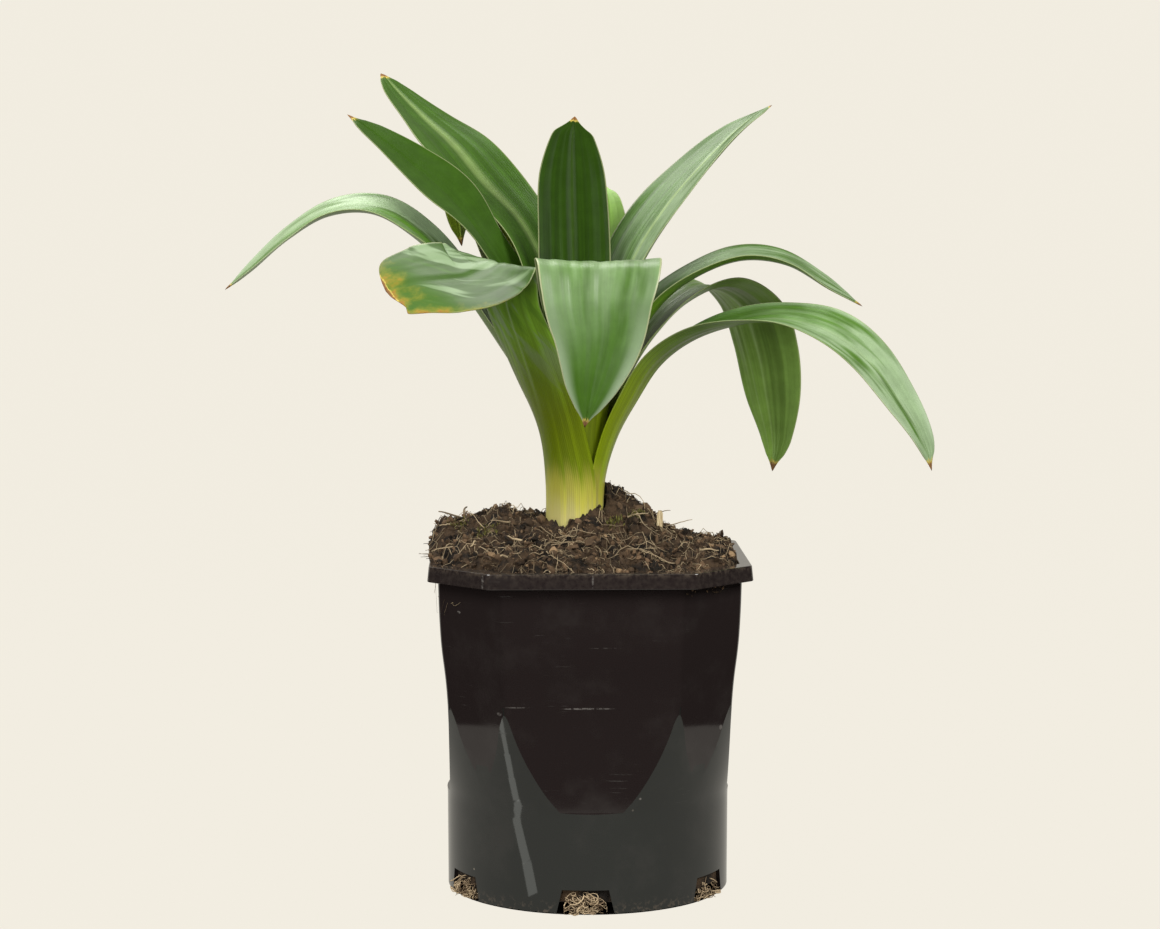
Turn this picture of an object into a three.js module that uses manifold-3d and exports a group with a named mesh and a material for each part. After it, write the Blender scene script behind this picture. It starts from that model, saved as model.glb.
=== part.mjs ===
// Potted giant allium: a black nursery pot, its soil, the bulb and twelve leaves.
// Millimetres, +Z up. The pot stands on z = 0 with its middle over the origin.
// The plant's front faces -Y and +X is to the right. Azimuths are in degrees,
// 0 towards the front and 90 to the right.
import * as THREE from 'three';
import Module from 'manifold-3d';

const wasm = await Module();
wasm.setup();

// The pot: sizes in millimetres.
const POT_HEIGHT = 176.5;
const POT_WALL = 1.7;
const POT_TURN = 1.5;
const SEAT_GAP = 0.35;
const POT_LEDGE = [51.5, 52.8];
// Flat sides: height, distance of the four wide flats, distance of the four corner flats.
const POT_FLATS = [
  [-4, 77, 79], [POT_LEDGE[0], 77, 79], [POT_LEDGE[1], 73, 75], [75, 73, 79.3], [98, 73.2, 82.7],
  [116, 74.4, 84.2], [134, 76.8, 86.2], [152, 77.8, 87.2], [184, 78.6, 88.2],
];
// Round lower part, opening out into a bell that the flats cut off.
const POT_BELL = [
  [74.3, 0.8], [74.5, 52], [76.2, 59.5], [78.9, 71.8], [81.9, 85.3], [85, 102],
  [90, 122], [108, 186],
];
const CORNER_ROUND = 5;
const RIM_HEIGHT = 8;
const RIM_TOP = [82.8, 95.6];
const RIM_FOOT = [83.5, 96.4];
const RIM_SKIN = 1.8;
const STAND_RADIUS = 52;
const FLOOR_RISE = 4.5;
const NOTCH_COUNT = 6;
const NOTCH_TURN = -1;
const NOTCH_HEIGHT = 12.9;
const NOTCH_WIDTH = [30, 24];
const NOTCH_DEPTH = 64;

// The soil's holes and the pieces it holds: neck, bulb and bark chip.
const NECK = [-6.1, 0];
const NECK_RADIUS = 16.2;
const HOLE_RADIUS = 17;
const BULB_TOP = 149.6;
const BULB_PROFILE = [
  [0, 97], [8, 96.5], [17, 99], [25, 106], [29.5, 116], [29, 127], [24.5, 137],
  [18.5, 144], [15.8, 147.5], [15.8, BULB_TOP], [0, BULB_TOP],
];
const CHIP_SIZE = [4.4, 1.6, 30];
const CHIP_PLACE = [37.5, -12, 185];

// Leaf blades and how their sheaths nest in the neck.
const LAYER_PITCH = 1.9;
const LEAF_START = 150;
const BLADE_MIDDLE = 1.4;
const BLADE_EDGE = 0.8;
const ACROSS = 6;
const STEPS = 2;
// Each leaf rises in the neck at its own azimuth and layer, 0 outermost, wrapping
// half its sheath to either side. From there its midrib goes through the points
// [azimuth, distance from the neck's middle, height, width, half angle of the
// channel, roll about the midrib, turn of the blade away from its azimuth].
// A width of 0 keeps the blade wrapped round the neck's middle.
const LEAVES = [
  {
    name: 'leaf_left_front', sheath: -45, layer: 0, wrap: 72,
    path: [
      [-46, 19.5, 238, 0, 62, 0], [-45, 28.5, 263, 43, 38, 0], [-44, 39, 286, 42, 24, 0],
      [-47, 46, 306, 40, 16, 0, 2], [-48, 49, 320, 44, 10, 0, 2], [-47, 54, 330, 56, 6, -6, 0],
      [-47, 64, 327, 60, 6, -22, 0], [-48, 75, 323, 60, 8, -30, -12],
      [-51, 86, 322, 59, 10, -34, -20], [-54, 98, 321, 56, 12, -34, -22],
      [-57, 107, 319, 48, 10, -34, -22], [-58, 113, 317, 28, 8, -34, -22],
    ],
  },
  {
    name: 'leaf_right_low', sheath: 92, layer: 0, wrap: 56,
    path: [
      [84, 21.5, 237, 34, 48, 0], [79, 32, 257, 38, 44, 0], [78, 45, 277, 42, 40, 0],
      [78, 62, 290, 44, 34, 2], [78, 84, 298, 45, 28, 5], [78, 108, 301, 45, 22, 11],
      [78, 132, 295, 43, 20, 22], [78, 153, 280, 38, 20, 26], [78, 171, 257, 30, 20, 26],
      [78, 182, 238, 18, 20, 26], [78, 187, 224, 3, 12, 26],
    ],
  },
  {
    name: 'leaf_back_left', sheath: -165, layer: 0, wrap: 38,
    path: [
      [-162, 21.5, 238, 28, 44, 0], [-154, 36, 268, 32, 40, 0], [-145, 56, 310, 34, 36, 0],
      [-138, 71, 342, 29, 32, 0], [-136, 84, 363, 24, 28, 0], [-136, 91, 364, 21, 26, 0],
      [-136, 92, 352, 15, 22, 0], [-136, 90, 337, 4, 10, 0],
    ],
  },
  {
    name: 'leaf_front', sheath: 10, layer: 1, wrap: 57,
    path: [
      [8, 17.3, 238, 0, 50, 0], [8, 25, 268, 38, 40, 0], [9, 37, 296, 44, 28, 0],
      [9, 54, 320, 56, 14, 0], [9, 69, 331, 63, 6, 0], [8, 80, 329, 62, 5, 0],
      [7, 87, 315, 56, 8, 0], [7, 89, 294, 45, 12, 0], [5, 87, 271, 27, 14, 0],
      [3, 82, 250, 3, 10, 0],
    ],
  },
  {
    name: 'leaf_far_left', sheath: -103, layer: 1, wrap: 50,
    path: [
      [-99, 17.4, 238, 0, 46, 0], [-98, 25.5, 262, 27, 48, 0], [-97, 41.5, 288, 28, 40, -2],
      [-95, 62, 318, 40, 38, -6], [-95, 82, 342, 42, 30, -10], [-95, 105, 356, 40, 26, -12],
      [-95, 130, 355, 37, 24, -14], [-95, 152, 343, 31, 22, -16], [-95, 172, 326, 21, 20, -16],
      [-95, 187, 315, 3, 12, -14],
    ],
  },
  {
    name: 'leaf_right_back', sheath: 125, layer: 1, wrap: 50,
    path: [
      [122, 17.6, 238, 0, 46, 0], [119, 25, 262, 38, 46, 0], [119, 42, 289, 44, 38, 0],
      [119, 62, 307, 48, 32, 0], [119, 85, 315, 50, 24, 0, 6], [119, 105, 304, 50, 20, 0, 14],
      [119, 115, 282, 46, 20, 0, 20], [119, 121, 254, 37, 20, 0, 20],
      [119, 124, 230, 20, 18, 0, 20], [119, 123, 214, 4, 10, 0, 20],
    ],
  },
  {
    name: 'leaf_right_arch', sheath: 98, layer: 2, wrap: 60,
    path: [
      [98, 14.5, 238, 0, 56, 0], [98, 19, 264, 32, 50, 0], [98, 31, 288, 38, 44, 0],
      [98, 47, 310, 41, 36, 0], [98, 65, 323, 42, 30, 2], [98, 88, 331, 41, 24, 6],
      [98, 112, 329, 36, 22, 13], [98, 134, 317, 26, 22, 17], [98, 154, 306, 3, 12, 16],
    ],
  },
  {
    name: 'leaf_upper_left', sheath: -116, layer: 2, wrap: 62,
    path: [
      [-112, 14.5, 238, 0, 54, 0], [-108, 19, 272, 32, 46, 0], [-107, 30, 306, 38, 36, -6],
      [-106, 50.5, 340, 35, 26, -10], [-108, 71, 364, 40, 24, -20], [-108, 95, 383, 31, 24, -22],
      [-108, 115, 398, 18, 24, -20], [-108, 129, 408, 3, 12, -16],
    ],
  },
  {
    name: 'leaf_left_back', sheath: -143, layer: 3, wrap: 50,
    path: [
      [-143, 12.3, 238, 0, 46, 0], [-143, 16, 270, 0, 46, 0], [-143, 22.5, 300, 34, 42, 0],
      [-146, 32, 326, 36, 34, 0], [-146, 54, 350, 38, 24, 2], [-143, 83, 371, 52, 18, 0],
      [-143, 112, 391, 48, 16, 0], [-143, 142, 407, 36, 16, 0], [-143, 168, 422, 20, 16, 0],
      [-143, 186, 434, 6, 10, 0],
    ],
  },
  {
    name: 'leaf_back_right', sheath: 112, layer: 3, wrap: 40,
    path: [
      [122, 12.2, 238, 0, 34, 0], [132, 16.5, 268, 20, 36, 0], [147, 30, 305, 24, 34, 0],
      [158, 47, 336, 26, 32, 0], [164, 62, 360, 16, 26, 0], [168, 72, 371, 3, 12, 0],
    ],
  },
  {
    name: 'leaf_upper_right', sheath: 98, layer: 4, wrap: 56,
    path: [
      [104, 10, 238, 0, 54, 0], [112, 13.5, 270, 26, 50, 0], [120, 24, 304, 38, 44, 0],
      [125, 40, 334, 44, 36, 0], [125, 62, 361, 43, 34, 0], [125, 86, 383, 35, 32, 0],
      [125, 109, 401, 20, 28, 0], [125, 131, 414, 3, 12, 0],
    ],
  },
  {
    name: 'leaf_back', sheath: -175, layer: 5, wrap: 66,
    path: [
      [-176, 8, 238, 0, 60, 0], [-176, 10, 272, 24, 54, 0], [-176, 15, 310, 38, 40, 0],
      [-176, 24, 345, 40, 28, 0], [-176, 33, 375, 36, 24, 0], [-177, 39, 396, 23, 20, 0],
      [-179, 42, 407, 6, 12, 0],
    ],
  },
];

const rad = THREE.MathUtils.degToRad;

// A repeatable random number in 0..1 for the small pieces.
function seeded(seed) {
  let state = seed;
  return () => {
    state = (state * 16807) % 2147483647;
    return state / 2147483647;
  };
}

function outward(azimuth) {
  return new THREE.Vector3(Math.sin(rad(azimuth)), -Math.cos(rad(azimuth)), 0);
}

// Geometry from points and triangle indices.
function faceted(points, faces) {
  const geometry = new THREE.BufferGeometry();
  const flat = points.flatMap((p) => [p.x, p.y, p.z]);
  geometry.setAttribute('position', new THREE.Float32BufferAttribute(flat, 3));
  geometry.setIndex(faces);
  return geometry;
}

// Closed skin over rings with equal counts, each counter-clockwise seen from ahead.
function loft(rings) {
  const count = rings[0].length;
  const points = rings.flat();
  const faces = [];
  for (let i = 0; i + 1 < rings.length; i += 1) {
    for (let j = 0; j < count; j += 1) {
      const next = (j + 1) % count;
      const a = i * count + j;
      const b = i * count + next;
      faces.push(a, b, b + count, a, b + count, a + count);
    }
  }
  const last = (rings.length - 1) * count;
  for (const [ring, first, flip] of [[rings[0], 0, true], [rings.at(-1), last, false]]) {
    const middle = new THREE.Vector3();
    ring.forEach((p) => middle.addScaledVector(p, 1 / count));
    const hub = points.push(middle) - 1;
    for (let j = 0; j < count; j += 1) {
      const a = first + j;
      const b = first + ((j + 1) % count);
      faces.push(hub, flip ? b : a, flip ? a : b);
    }
  }
  return faceted(points, faces);
}

function circle(radius, height, count = 48, middle = [0, 0]) {
  return Array.from({ length: count }, (_, j) => {
    const turn = (2 * Math.PI * j) / count;
    return new THREE.Vector3(
      middle[0] + radius * Math.cos(turn),
      middle[1] + radius * Math.sin(turn),
      height,
    );
  });
}

// Turned body from a profile that starts and ends on the axis.
function turned(profile, count = 48, middle = [0, 0]) {
  const points = profile.map(([radius, height]) => new THREE.Vector2(radius, height));
  const geometry = new THREE.LatheGeometry(points, count);
  geometry.rotateX(Math.PI / 2);
  return geometry.translate(middle[0], middle[1], 0);
}

function solid(geometry) {
  const source = geometry.index ? geometry.toNonIndexed() : geometry;
  const place = source.getAttribute('position');
  const seen = new Map();
  const vertProperties = [];
  const triVerts = [];
  for (let i = 0; i < place.count; i += 1) {
    const point = [place.getX(i), place.getY(i), place.getZ(i)]
      .map((value) => Math.round(value * 1e4) / 1e4);
    const key = point.join();
    if (!seen.has(key)) {
      seen.set(key, seen.size);
      vertProperties.push(...point);
    }
    triVerts.push(seen.get(key));
  }
  const kept = [];
  for (let i = 0; i < triVerts.length; i += 3) {
    const [a, b, c] = triVerts.slice(i, i + 3);
    if (a !== b && b !== c && c !== a) kept.push(a, b, c);
  }
  return new wasm.Manifold(new wasm.Mesh({
    numProp: 3,
    vertProperties: new Float32Array(vertProperties),
    triVerts: new Uint32Array(kept),
  }));
}

function skin(body) {
  const mesh = body.getMesh();
  const geometry = new THREE.BufferGeometry();
  geometry.setAttribute('position', new THREE.Float32BufferAttribute(mesh.vertProperties, 3));
  geometry.setIndex(new THREE.Uint32BufferAttribute(mesh.triVerts, 1));
  return geometry;
}

// Eight-sided ring with rounded corners: wide flats and corner flats.
function octagon(flat, corner, height, round = CORNER_ROUND) {
  const ring = [];
  const reach = Math.SQRT2 * corner - flat;
  for (let side = 0; side < 4; side += 1) {
    for (const [x, y, sign] of [[flat, reach, -1], [reach, flat, 1]]) {
      const turn = rad(22.5);
      const back = round * Math.tan(turn);
      const straight = new THREE.Vector2(0, 1);
      const slant = new THREE.Vector2(-Math.SQRT1_2, Math.SQRT1_2);
      const along = new THREE.Vector2(-1, 0);
      const [before, after] = sign < 0 ? [straight, slant] : [slant, along];
      const tip = new THREE.Vector2(x, y);
      const cut = round * (1 / Math.cos(turn) - 1);
      const inner = tip.clone().addScaledVector(tip.clone().normalize(), -cut);
      const points = [
        tip.clone().addScaledVector(before, -back),
        inner,
        tip.clone().addScaledVector(after, back),
      ];
      points.forEach((p) => {
        p.rotateAround(new THREE.Vector2(), (side * Math.PI) / 2);
        ring.push(new THREE.Vector3(p.x, p.y, height));
      });
    }
  }
  return ring;
}

// The space inside the pot's outside once that is moved in by an inset. The ledge
// under the flats moves down by as much, so that the wall stays even.
function potSpace(inset, bottom) {
  const flats = loft(POT_FLATS.map(([z, flat, corner]) => {
    const drop = POT_LEDGE.includes(z) ? inset : 0;
    return octagon(flat - inset, corner - inset, z - drop);
  }));
  const wall = POT_BELL.map(([radius, z]) => [radius - inset, z]);
  wall[0][1] = bottom.at(-1)[1];
  wall[0][0] = bottom.at(-1)[0];
  const bell = turned([...bottom, ...wall.slice(1), [0, POT_BELL.at(-1)[1]]]);
  return solid(flats).intersect(solid(bell));
}

// A plug wider at the foot than at the top, pointing outward through the wall.
function notchPlug(azimuth, inner, outer, grow) {
  const [foot, top] = NOTCH_WIDTH.map((width) => width / 2 + grow);
  const head = NOTCH_HEIGHT + grow;
  const low = -2;
  const wide = foot + ((foot - top) * -low) / NOTCH_HEIGHT;
  const across = outward(azimuth + 90);
  const rings = [inner, outer].map((distance) => {
    const middle = outward(azimuth).multiplyScalar(distance);
    return [[-wide, low], [wide, low], [top, head], [-top, head]].map(
      ([side, z]) => middle.clone().addScaledVector(across, side).setZ(z),
    );
  });
  return solid(loft(rings));
}

function makePot() {
  const stand = [[0, 0], [STAND_RADIUS, 0], [STAND_RADIUS + 4, FLOOR_RISE]];
  const foot = POT_BELL[0];
  let pot = potSpace(0, [
    ...stand, [foot[0] - POT_WALL, FLOOR_RISE], [foot[0] - POT_WALL, foot[1]], foot,
  ]);
  const top = solid(loft([
    octagon(RIM_FOOT[0], RIM_FOOT[1], POT_HEIGHT - RIM_HEIGHT, 4),
    octagon(RIM_TOP[0], RIM_TOP[1], POT_HEIGHT, 4),
  ]));
  const under = solid(loft([
    octagon(RIM_FOOT[0] - RIM_SKIN, RIM_FOOT[1] - RIM_SKIN, POT_HEIGHT - RIM_HEIGHT - 1, 4),
    octagon(RIM_TOP[0] - RIM_SKIN, RIM_TOP[1] - RIM_SKIN, POT_HEIGHT - RIM_SKIN, 4),
  ]));
  pot = pot.trimByPlane([0, 0, -1], -POT_HEIGHT).add(top.subtract(under));
  pot = pot.subtract(potSpace(POT_WALL, potFloor(0)));
  pot = pot.rotate([0, 0, POT_TURN]);
  for (let k = 0; k < NOTCH_COUNT; k += 1) {
    pot = pot.subtract(notchPlug(NOTCH_TURN + (360 / NOTCH_COUNT) * k, NOTCH_DEPTH, 84, 0));
  }
  return pot;
}

// Inside of the floor: a sunken middle and a raised border, lifted by a gap.
function potFloor(gap) {
  return [
    [0, POT_WALL + gap], [STAND_RADIUS - gap, POT_WALL + gap],
    [STAND_RADIUS + 4 - gap, FLOOR_RISE + POT_WALL + gap],
    [POT_BELL[0][0] - POT_WALL - gap, FLOOR_RISE + POT_WALL + gap],
  ];
}

// Height of the soil: a heap round the neck, higher to the left and just right of it.
const lumps = (() => {
  const random = seeded(411);
  return Array.from({ length: 150 }, () => {
    const distance = 84 * Math.sqrt(random());
    const turn = 2 * Math.PI * random();
    return {
      x: distance * Math.cos(turn),
      y: distance * Math.sin(turn),
      size: 3 + 4 * random(),
      rise: 6 * random() - 2.4,
    };
  });
})();

function bump(x, y, middle, spread) {
  const away = (x - middle[0]) ** 2 + (y - middle[1]) ** 2;
  return Math.exp(-away / (2 * spread * spread));
}

function soilHeight(x, y) {
  let height = 176.5 + 15 * bump(x, y, [-6, 0], 36);
  height += 12 * bump(x, y, [-50, 0], 19);
  height += 7 * bump(x, y, [-74, -4], 11);
  height += 18 * bump(x, y, [13, 6], 14);
  height += 6 * bump(x, y, [32, 2], 10);
  height -= 7 * THREE.MathUtils.smoothstep(x, 38, 75);
  height -= 0.08 * Math.max(0, Math.hypot(x + 6, y) - 68) ** 2;
  lumps.forEach((lump) => {
    height += lump.rise * bump(x, y, [lump.x, lump.y], lump.size);
  });
  return height;
}

// Column of soil whose top follows the heap.
function heap(reach, base) {
  const count = 38;
  const shares = [1, 1, 0.92, 0.83, 0.73, 0.63, 0.53, 0.43, 0.33, 0.23];
  const rings = shares.map((share, i) => Array.from({ length: count }, (_, j) => {
    const turn = (2 * Math.PI * j) / count + (i % 2) * (Math.PI / count);
    const distance = share * reach;
    const x = distance * Math.cos(turn);
    const y = distance * Math.sin(turn);
    return new THREE.Vector3(x, y, i === 0 ? base : soilHeight(x, y));
  }));
  rings[0].forEach((p, j) => p.setX(rings[1][j].x).setY(rings[1][j].y));
  return solid(loft(rings));
}

// Bent rod with a round section that narrows to its end.
function rod(path, radius, sides) {
  const curve = new THREE.CatmullRomCurve3(path);
  const steps = path.length;
  const frames = curve.computeFrenetFrames(steps, false);
  const rings = frames.tangents.map((_, i) => {
    const middle = curve.getPoint(i / steps);
    const size = radius * (1 - 0.55 * (i / steps));
    return Array.from({ length: sides }, (__, j) => {
      const turn = (2 * Math.PI * j) / sides;
      return middle.clone()
        .addScaledVector(frames.normals[i], size * Math.cos(turn))
        .addScaledVector(frames.binormals[i], size * Math.sin(turn));
    });
  });
  return solid(loft(rings));
}

// Fibres and twigs that stick out of the heap, each sunk into it at one end.
function fibres(soil) {
  const random = seeded(95);
  let result = soil;
  for (let k = 0; k < 22; k += 1) {
    const turn = k < 12 ? Math.PI * (0.86 + 0.5 * random()) : 2 * Math.PI * random();
    const start = k < 12 ? 66 + 8 * random() : 34 + 34 * random();
    const x = start * Math.cos(turn);
    const y = start * Math.sin(turn);
    const z = soilHeight(x, y);
    const heading = turn + 2.4 * (random() - 0.5);
    const length = 7 + 8 * random();
    const lift = 2.5 + 4.5 * random();
    const step = (share, rise) => new THREE.Vector3(
      x + length * share * Math.cos(heading + 0.5 * share),
      y + length * share * Math.sin(heading + 0.5 * share),
      z + rise,
    );
    const path = [step(-0.1, -3), step(0.25, lift * 0.5), step(0.65, lift), step(1, lift * 0.9)];
    result = result.add(rod(path, 0.75, 4));
  }
  return result;
}

function chipBody(grow) {
  const [width, thick, length] = CHIP_SIZE.map((size) => size + 2 * grow);
  const chip = new THREE.BoxGeometry(width, thick, length);
  const place = chip.getAttribute('position');
  for (let i = 0; i < place.count; i += 1) {
    if (place.getZ(i) > 0) place.setX(i, place.getX(i) * 0.72);
  }
  chip.rotateX(rad(-6)).rotateY(rad(3)).rotateZ(rad(14));
  return solid(chip.translate(...CHIP_PLACE));
}

function makeSoil() {
  const inside = potSpace(POT_WALL + SEAT_GAP, potFloor(SEAT_GAP)).rotate([0, 0, POT_TURN]);
  const column = heap(92, -6);
  // Over the left of the rim the heap spills outward above the wall.
  const spill = solid(loft([circle(74, -7, 38, [-8, 0]), circle(74, 260, 38, [-8, 0])]));
  const above = column.trimByPlane([0, 0, 1], POT_HEIGHT + SEAT_GAP).intersect(spill);
  let soil = column.intersect(inside).add(above);
  soil = fibres(soil);
  const hole = loft([
    circle(HOLE_RADIUS, BULB_TOP - 1, 40, NECK), circle(HOLE_RADIUS, 260, 40, NECK),
  ]);
  const nest = BULB_PROFILE.slice(0, -2).map(([radius, z], i) => [
    i === 0 ? 0 : radius + SEAT_GAP, z - (i < 3 ? SEAT_GAP : 0),
  ]);
  nest.push([BULB_PROFILE.at(-2)[0] + SEAT_GAP, BULB_TOP], [0, BULB_TOP]);
  soil = soil.subtract(solid(hole)).subtract(solid(turned(nest, 28, NECK)));
  soil = soil.subtract(chipBody(SEAT_GAP));
  for (const { azimuth } of ROOT_PLACES) {
    soil = soil.subtract(rootMat(azimuth, SEAT_GAP));
  }
  return largest(soil);
}

function largest(body) {
  return body.decompose().sort((a, b) => b.volume() - a.volume())[0];
}

// Tangles of roots that fill three of the notches.
const ROOT_PLACES = [
  { name: 'roots_front', azimuth: NOTCH_TURN, count: 11, seed: 7 },
  { name: 'roots_left', azimuth: NOTCH_TURN - 60, count: 9, seed: 29 },
  { name: 'roots_right', azimuth: NOTCH_TURN + 60, count: 6, seed: 61 },
];

// The flat felt of roots behind the notch.
function rootMat(azimuth, grow) {
  const across = outward(azimuth + 90);
  const rings = [65.5 - grow, 73.5 + grow].map((distance, i) => {
    const middle = outward(azimuth).multiplyScalar(distance);
    const half = 10.6 - i + grow;
    const low = 7.2 - grow;
    const high = 11.4 + grow;
    const outline = [
      [-half, low], [half, low], [half - 0.8, high], [0, high + 0.6], [0.8 - half, high],
    ];
    return outline.map(([side, z]) => middle.clone().addScaledVector(across, side).setZ(z));
  });
  return solid(loft(rings));
}

function makeRoots({ azimuth, count, seed }) {
  const random = seeded(seed);
  const out = outward(azimuth);
  const across = outward(azimuth + 90);
  let roots = rootMat(azimuth, 0);
  for (let k = 0; k < count; k += 1) {
    const side = -8.4 + (16.8 * (k + 0.5)) / count;
    const at = (distance, shift, z) => out.clone().multiplyScalar(distance)
      .addScaledVector(across, side + shift).setZ(z);
    const curl = (random() - 0.5) * 5;
    const drop = 3.2 + 4 * random();
    const path = [
      at(71.5, 0, 8.6 + 1.6 * random()), at(74.6, curl * 0.4, 10.2 - random()),
      at(76.6 + random(), curl, 7.4), at(75.8 + random(), curl * 0.3, drop),
      at(76.8 + 1.4 * random(), -curl * 0.8, 1.4 + random()),
    ];
    roots = roots.add(rod(path, 0.85, 4));
  }
  return roots;
}

// Smooth value through one number of every path point.
function along(values, share) {
  const place = share * (values.length - 1);
  const i = Math.min(Math.floor(place), values.length - 2);
  const t = place - i;
  const [a, b, c, d] = [values[Math.max(i - 1, 0)], values[i], values[i + 1],
    values[Math.min(i + 2, values.length - 1)]];
  const lead = (c - a) / 2;
  const trail = (d - b) / 2;
  const t2 = t * t;
  return b + lead * t + (3 * (c - b) - 2 * lead - trail) * t2
    + (2 * (b - c) + lead + trail) * t2 * t;
}

function leafGeometry(leaf) {
  const radius = NECK_RADIUS - leaf.layer * LAYER_PITCH;
  const path = [
    [leaf.sheath, radius, LEAF_START, 0, leaf.wrap, 0],
    [leaf.sheath, radius, 184, 0, leaf.wrap, 0],
    [leaf.sheath, radius, 214, 0, leaf.wrap, 0],
    ...leaf.path,
  ];
  const facing = path.map(([azimuth, , , , , , turn = 0]) => azimuth + turn);
  const widths = path.map(([, distance, , width, half]) => width || 2 * distance * rad(half));
  const midrib = new THREE.CatmullRomCurve3(path.map(([azimuth, distance, z]) => outward(azimuth)
    .multiplyScalar(distance).add(new THREE.Vector3(NECK[0], NECK[1], z))), false, 'centripetal');
  const steps = (path.length - 1) * STEPS;
  const points = [];
  for (let i = 0; i <= steps; i += 1) {
    const share = i / steps;
    const foot = midrib.getPoint(share);
    const ahead = midrib.getTangent(share);
    const azimuth = along(facing, share);
    const width = along(widths, share);
    const half = Math.max(rad(along(path.map((p) => p[4]), share)), 0.02);
    const roll = rad(along(path.map((p) => p[5]), share));
    const side = outward(azimuth + 90);
    side.addScaledVector(ahead, -side.dot(ahead)).normalize().applyAxisAngle(ahead, roll);
    const up = ahead.clone().cross(side);
    const bend = width / (2 * half);
    const outer = [];
    const inner = [];
    for (let j = 0; j <= ACROSS; j += 1) {
      const u = (2 * j) / ACROSS - 1;
      const turn = u * half;
      const thick = BLADE_EDGE + (BLADE_MIDDLE - BLADE_EDGE) * (1 - u * u);
      const normal = up.clone().multiplyScalar(Math.cos(turn))
        .addScaledVector(side, -Math.sin(turn));
      const point = foot.clone().addScaledVector(side, bend * Math.sin(turn))
        .addScaledVector(up, bend * (1 - Math.cos(turn)));
      outer.push(point);
      inner.unshift(point.clone().addScaledVector(normal, thick));
    }
    points.push(...outer, ...inner);
  }
  const count = 2 * (ACROSS + 1);
  const faces = [];
  for (let i = 0; i < steps; i += 1) {
    for (let j = 0; j < count; j += 1) {
      const a = i * count + j;
      const b = i * count + ((j + 1) % count);
      // The inner face is split along the same diagonal as the outer one.
      if (j > ACROSS) {
        faces.push(a, b, a + count, b, b + count, a + count);
      } else {
        faces.push(a, b, b + count, a, b + count, a + count);
      }
    }
  }
  for (let j = 0; j < ACROSS; j += 1) {
    const far = count - 1 - j;
    const last = steps * count;
    faces.push(j, far, far - 1, j, far - 1, j + 1);
    faces.push(last + j, last + j + 1, last + far - 1, last + j, last + far - 1, last + far);
  }
  return faceted(points, faces);
}

function material(color, roughness) {
  return new THREE.MeshStandardMaterial({ color, roughness, metalness: 0 });
}

const object = new THREE.Group();

function place(name, geometry, color, roughness) {
  const mesh = new THREE.Mesh(geometry, material(color, roughness));
  mesh.name = name;
  object.add(mesh);
}

place('pot', skin(makePot()), 0x1b1a19, 0.35);
place('soil', skin(makeSoil()), 0x3b2617, 0.95);
place('bulb', turned(BULB_PROFILE, 28, NECK), 0xc9a878, 0.7);
place('bark_chip', skin(chipBody(0)), 0xb79f72, 0.8);
ROOT_PLACES.forEach((root) => place(root.name, skin(makeRoots(root)), 0xb39b76, 0.9));
LEAVES.forEach((leaf) => place(leaf.name, leafGeometry(leaf), 0x4c7a3c, 0.5));

export default object;
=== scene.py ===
"""Potted giant allium: the leaves, bulb, soil, roots and nursery pot, with the studio round them.

Lengths are in metres, +Z is up, the plant's front faces -Y and the pot stands on z = 0.
Azimuths are in degrees, 0 to the front and 90 to the right. Tables are in millimetres.
"""
import math

import bpy
import numpy as np
from bpy.props import FloatProperty, FloatVectorProperty, IntProperty, PointerProperty
from mathutils import Matrix, Vector, noise


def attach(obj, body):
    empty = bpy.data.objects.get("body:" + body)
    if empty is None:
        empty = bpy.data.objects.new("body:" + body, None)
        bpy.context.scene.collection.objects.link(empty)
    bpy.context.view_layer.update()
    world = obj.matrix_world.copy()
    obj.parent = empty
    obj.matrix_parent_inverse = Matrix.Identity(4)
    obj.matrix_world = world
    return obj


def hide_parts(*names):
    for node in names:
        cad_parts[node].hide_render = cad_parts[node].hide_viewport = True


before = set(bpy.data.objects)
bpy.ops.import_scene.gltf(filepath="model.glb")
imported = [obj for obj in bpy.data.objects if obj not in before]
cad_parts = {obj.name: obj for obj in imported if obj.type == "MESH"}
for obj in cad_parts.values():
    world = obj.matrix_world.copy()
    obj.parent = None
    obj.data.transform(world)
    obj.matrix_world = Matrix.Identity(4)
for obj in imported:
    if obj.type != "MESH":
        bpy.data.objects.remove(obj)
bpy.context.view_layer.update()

bl_info = {
    "name": "Potted giant allium",
    "version": (1, 0, 0),
    "blender": (4, 5, 0),
    "location": "3D View > Sidebar > Allium",
    "description": "Builds a potted giant allium on its packed frame, with a plain studio",
    "category": "Add Mesh",
}

MM = 0.001
BODY = "root"

# The neck of sheaths, in millimetres.
NECK = (-6.1, 0.0)
NECK_RADIUS = 16.2
LAYER_PITCH = 1.9
LEAF_START = 150.0
BLADE_MIDDLE = 1.4
BLADE_EDGE = 0.8
BULB_TOP = 149.6

# The pot, in millimetres: height, distance of the wide flats, distance of the corner flats.
POT_HEIGHT = 176.5
POT_WALL = 1.7
POT_TURN = 1.5
POT_LEDGE = (51.5, 52.8)
POT_FLATS = (
    (-4, 77, 79), (POT_LEDGE[0], 77, 79), (POT_LEDGE[1], 73, 75), (75, 73, 79.3),
    (98, 73.2, 82.7), (116, 74.4, 84.2), (134, 76.8, 86.2), (152, 77.8, 87.2), (184, 78.6, 88.2),
)
POT_BELL = (
    (74.3, 0.8), (74.5, 52), (76.2, 59.5), (78.9, 71.8), (81.9, 85.3), (85, 102),
    (90, 122), (108, 186),
)
CORNER_ROUND = 5.0
RIM_HEIGHT = 8.0
RIM_TOP = (82.8, 95.6)
RIM_FOOT = (83.5, 96.4)
RIM_SKIN = 1.8
STAND_RADIUS = 52.0
FLOOR_RISE = 4.5
NOTCH_COUNT = 6
NOTCH_TURN = -1.0
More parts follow.
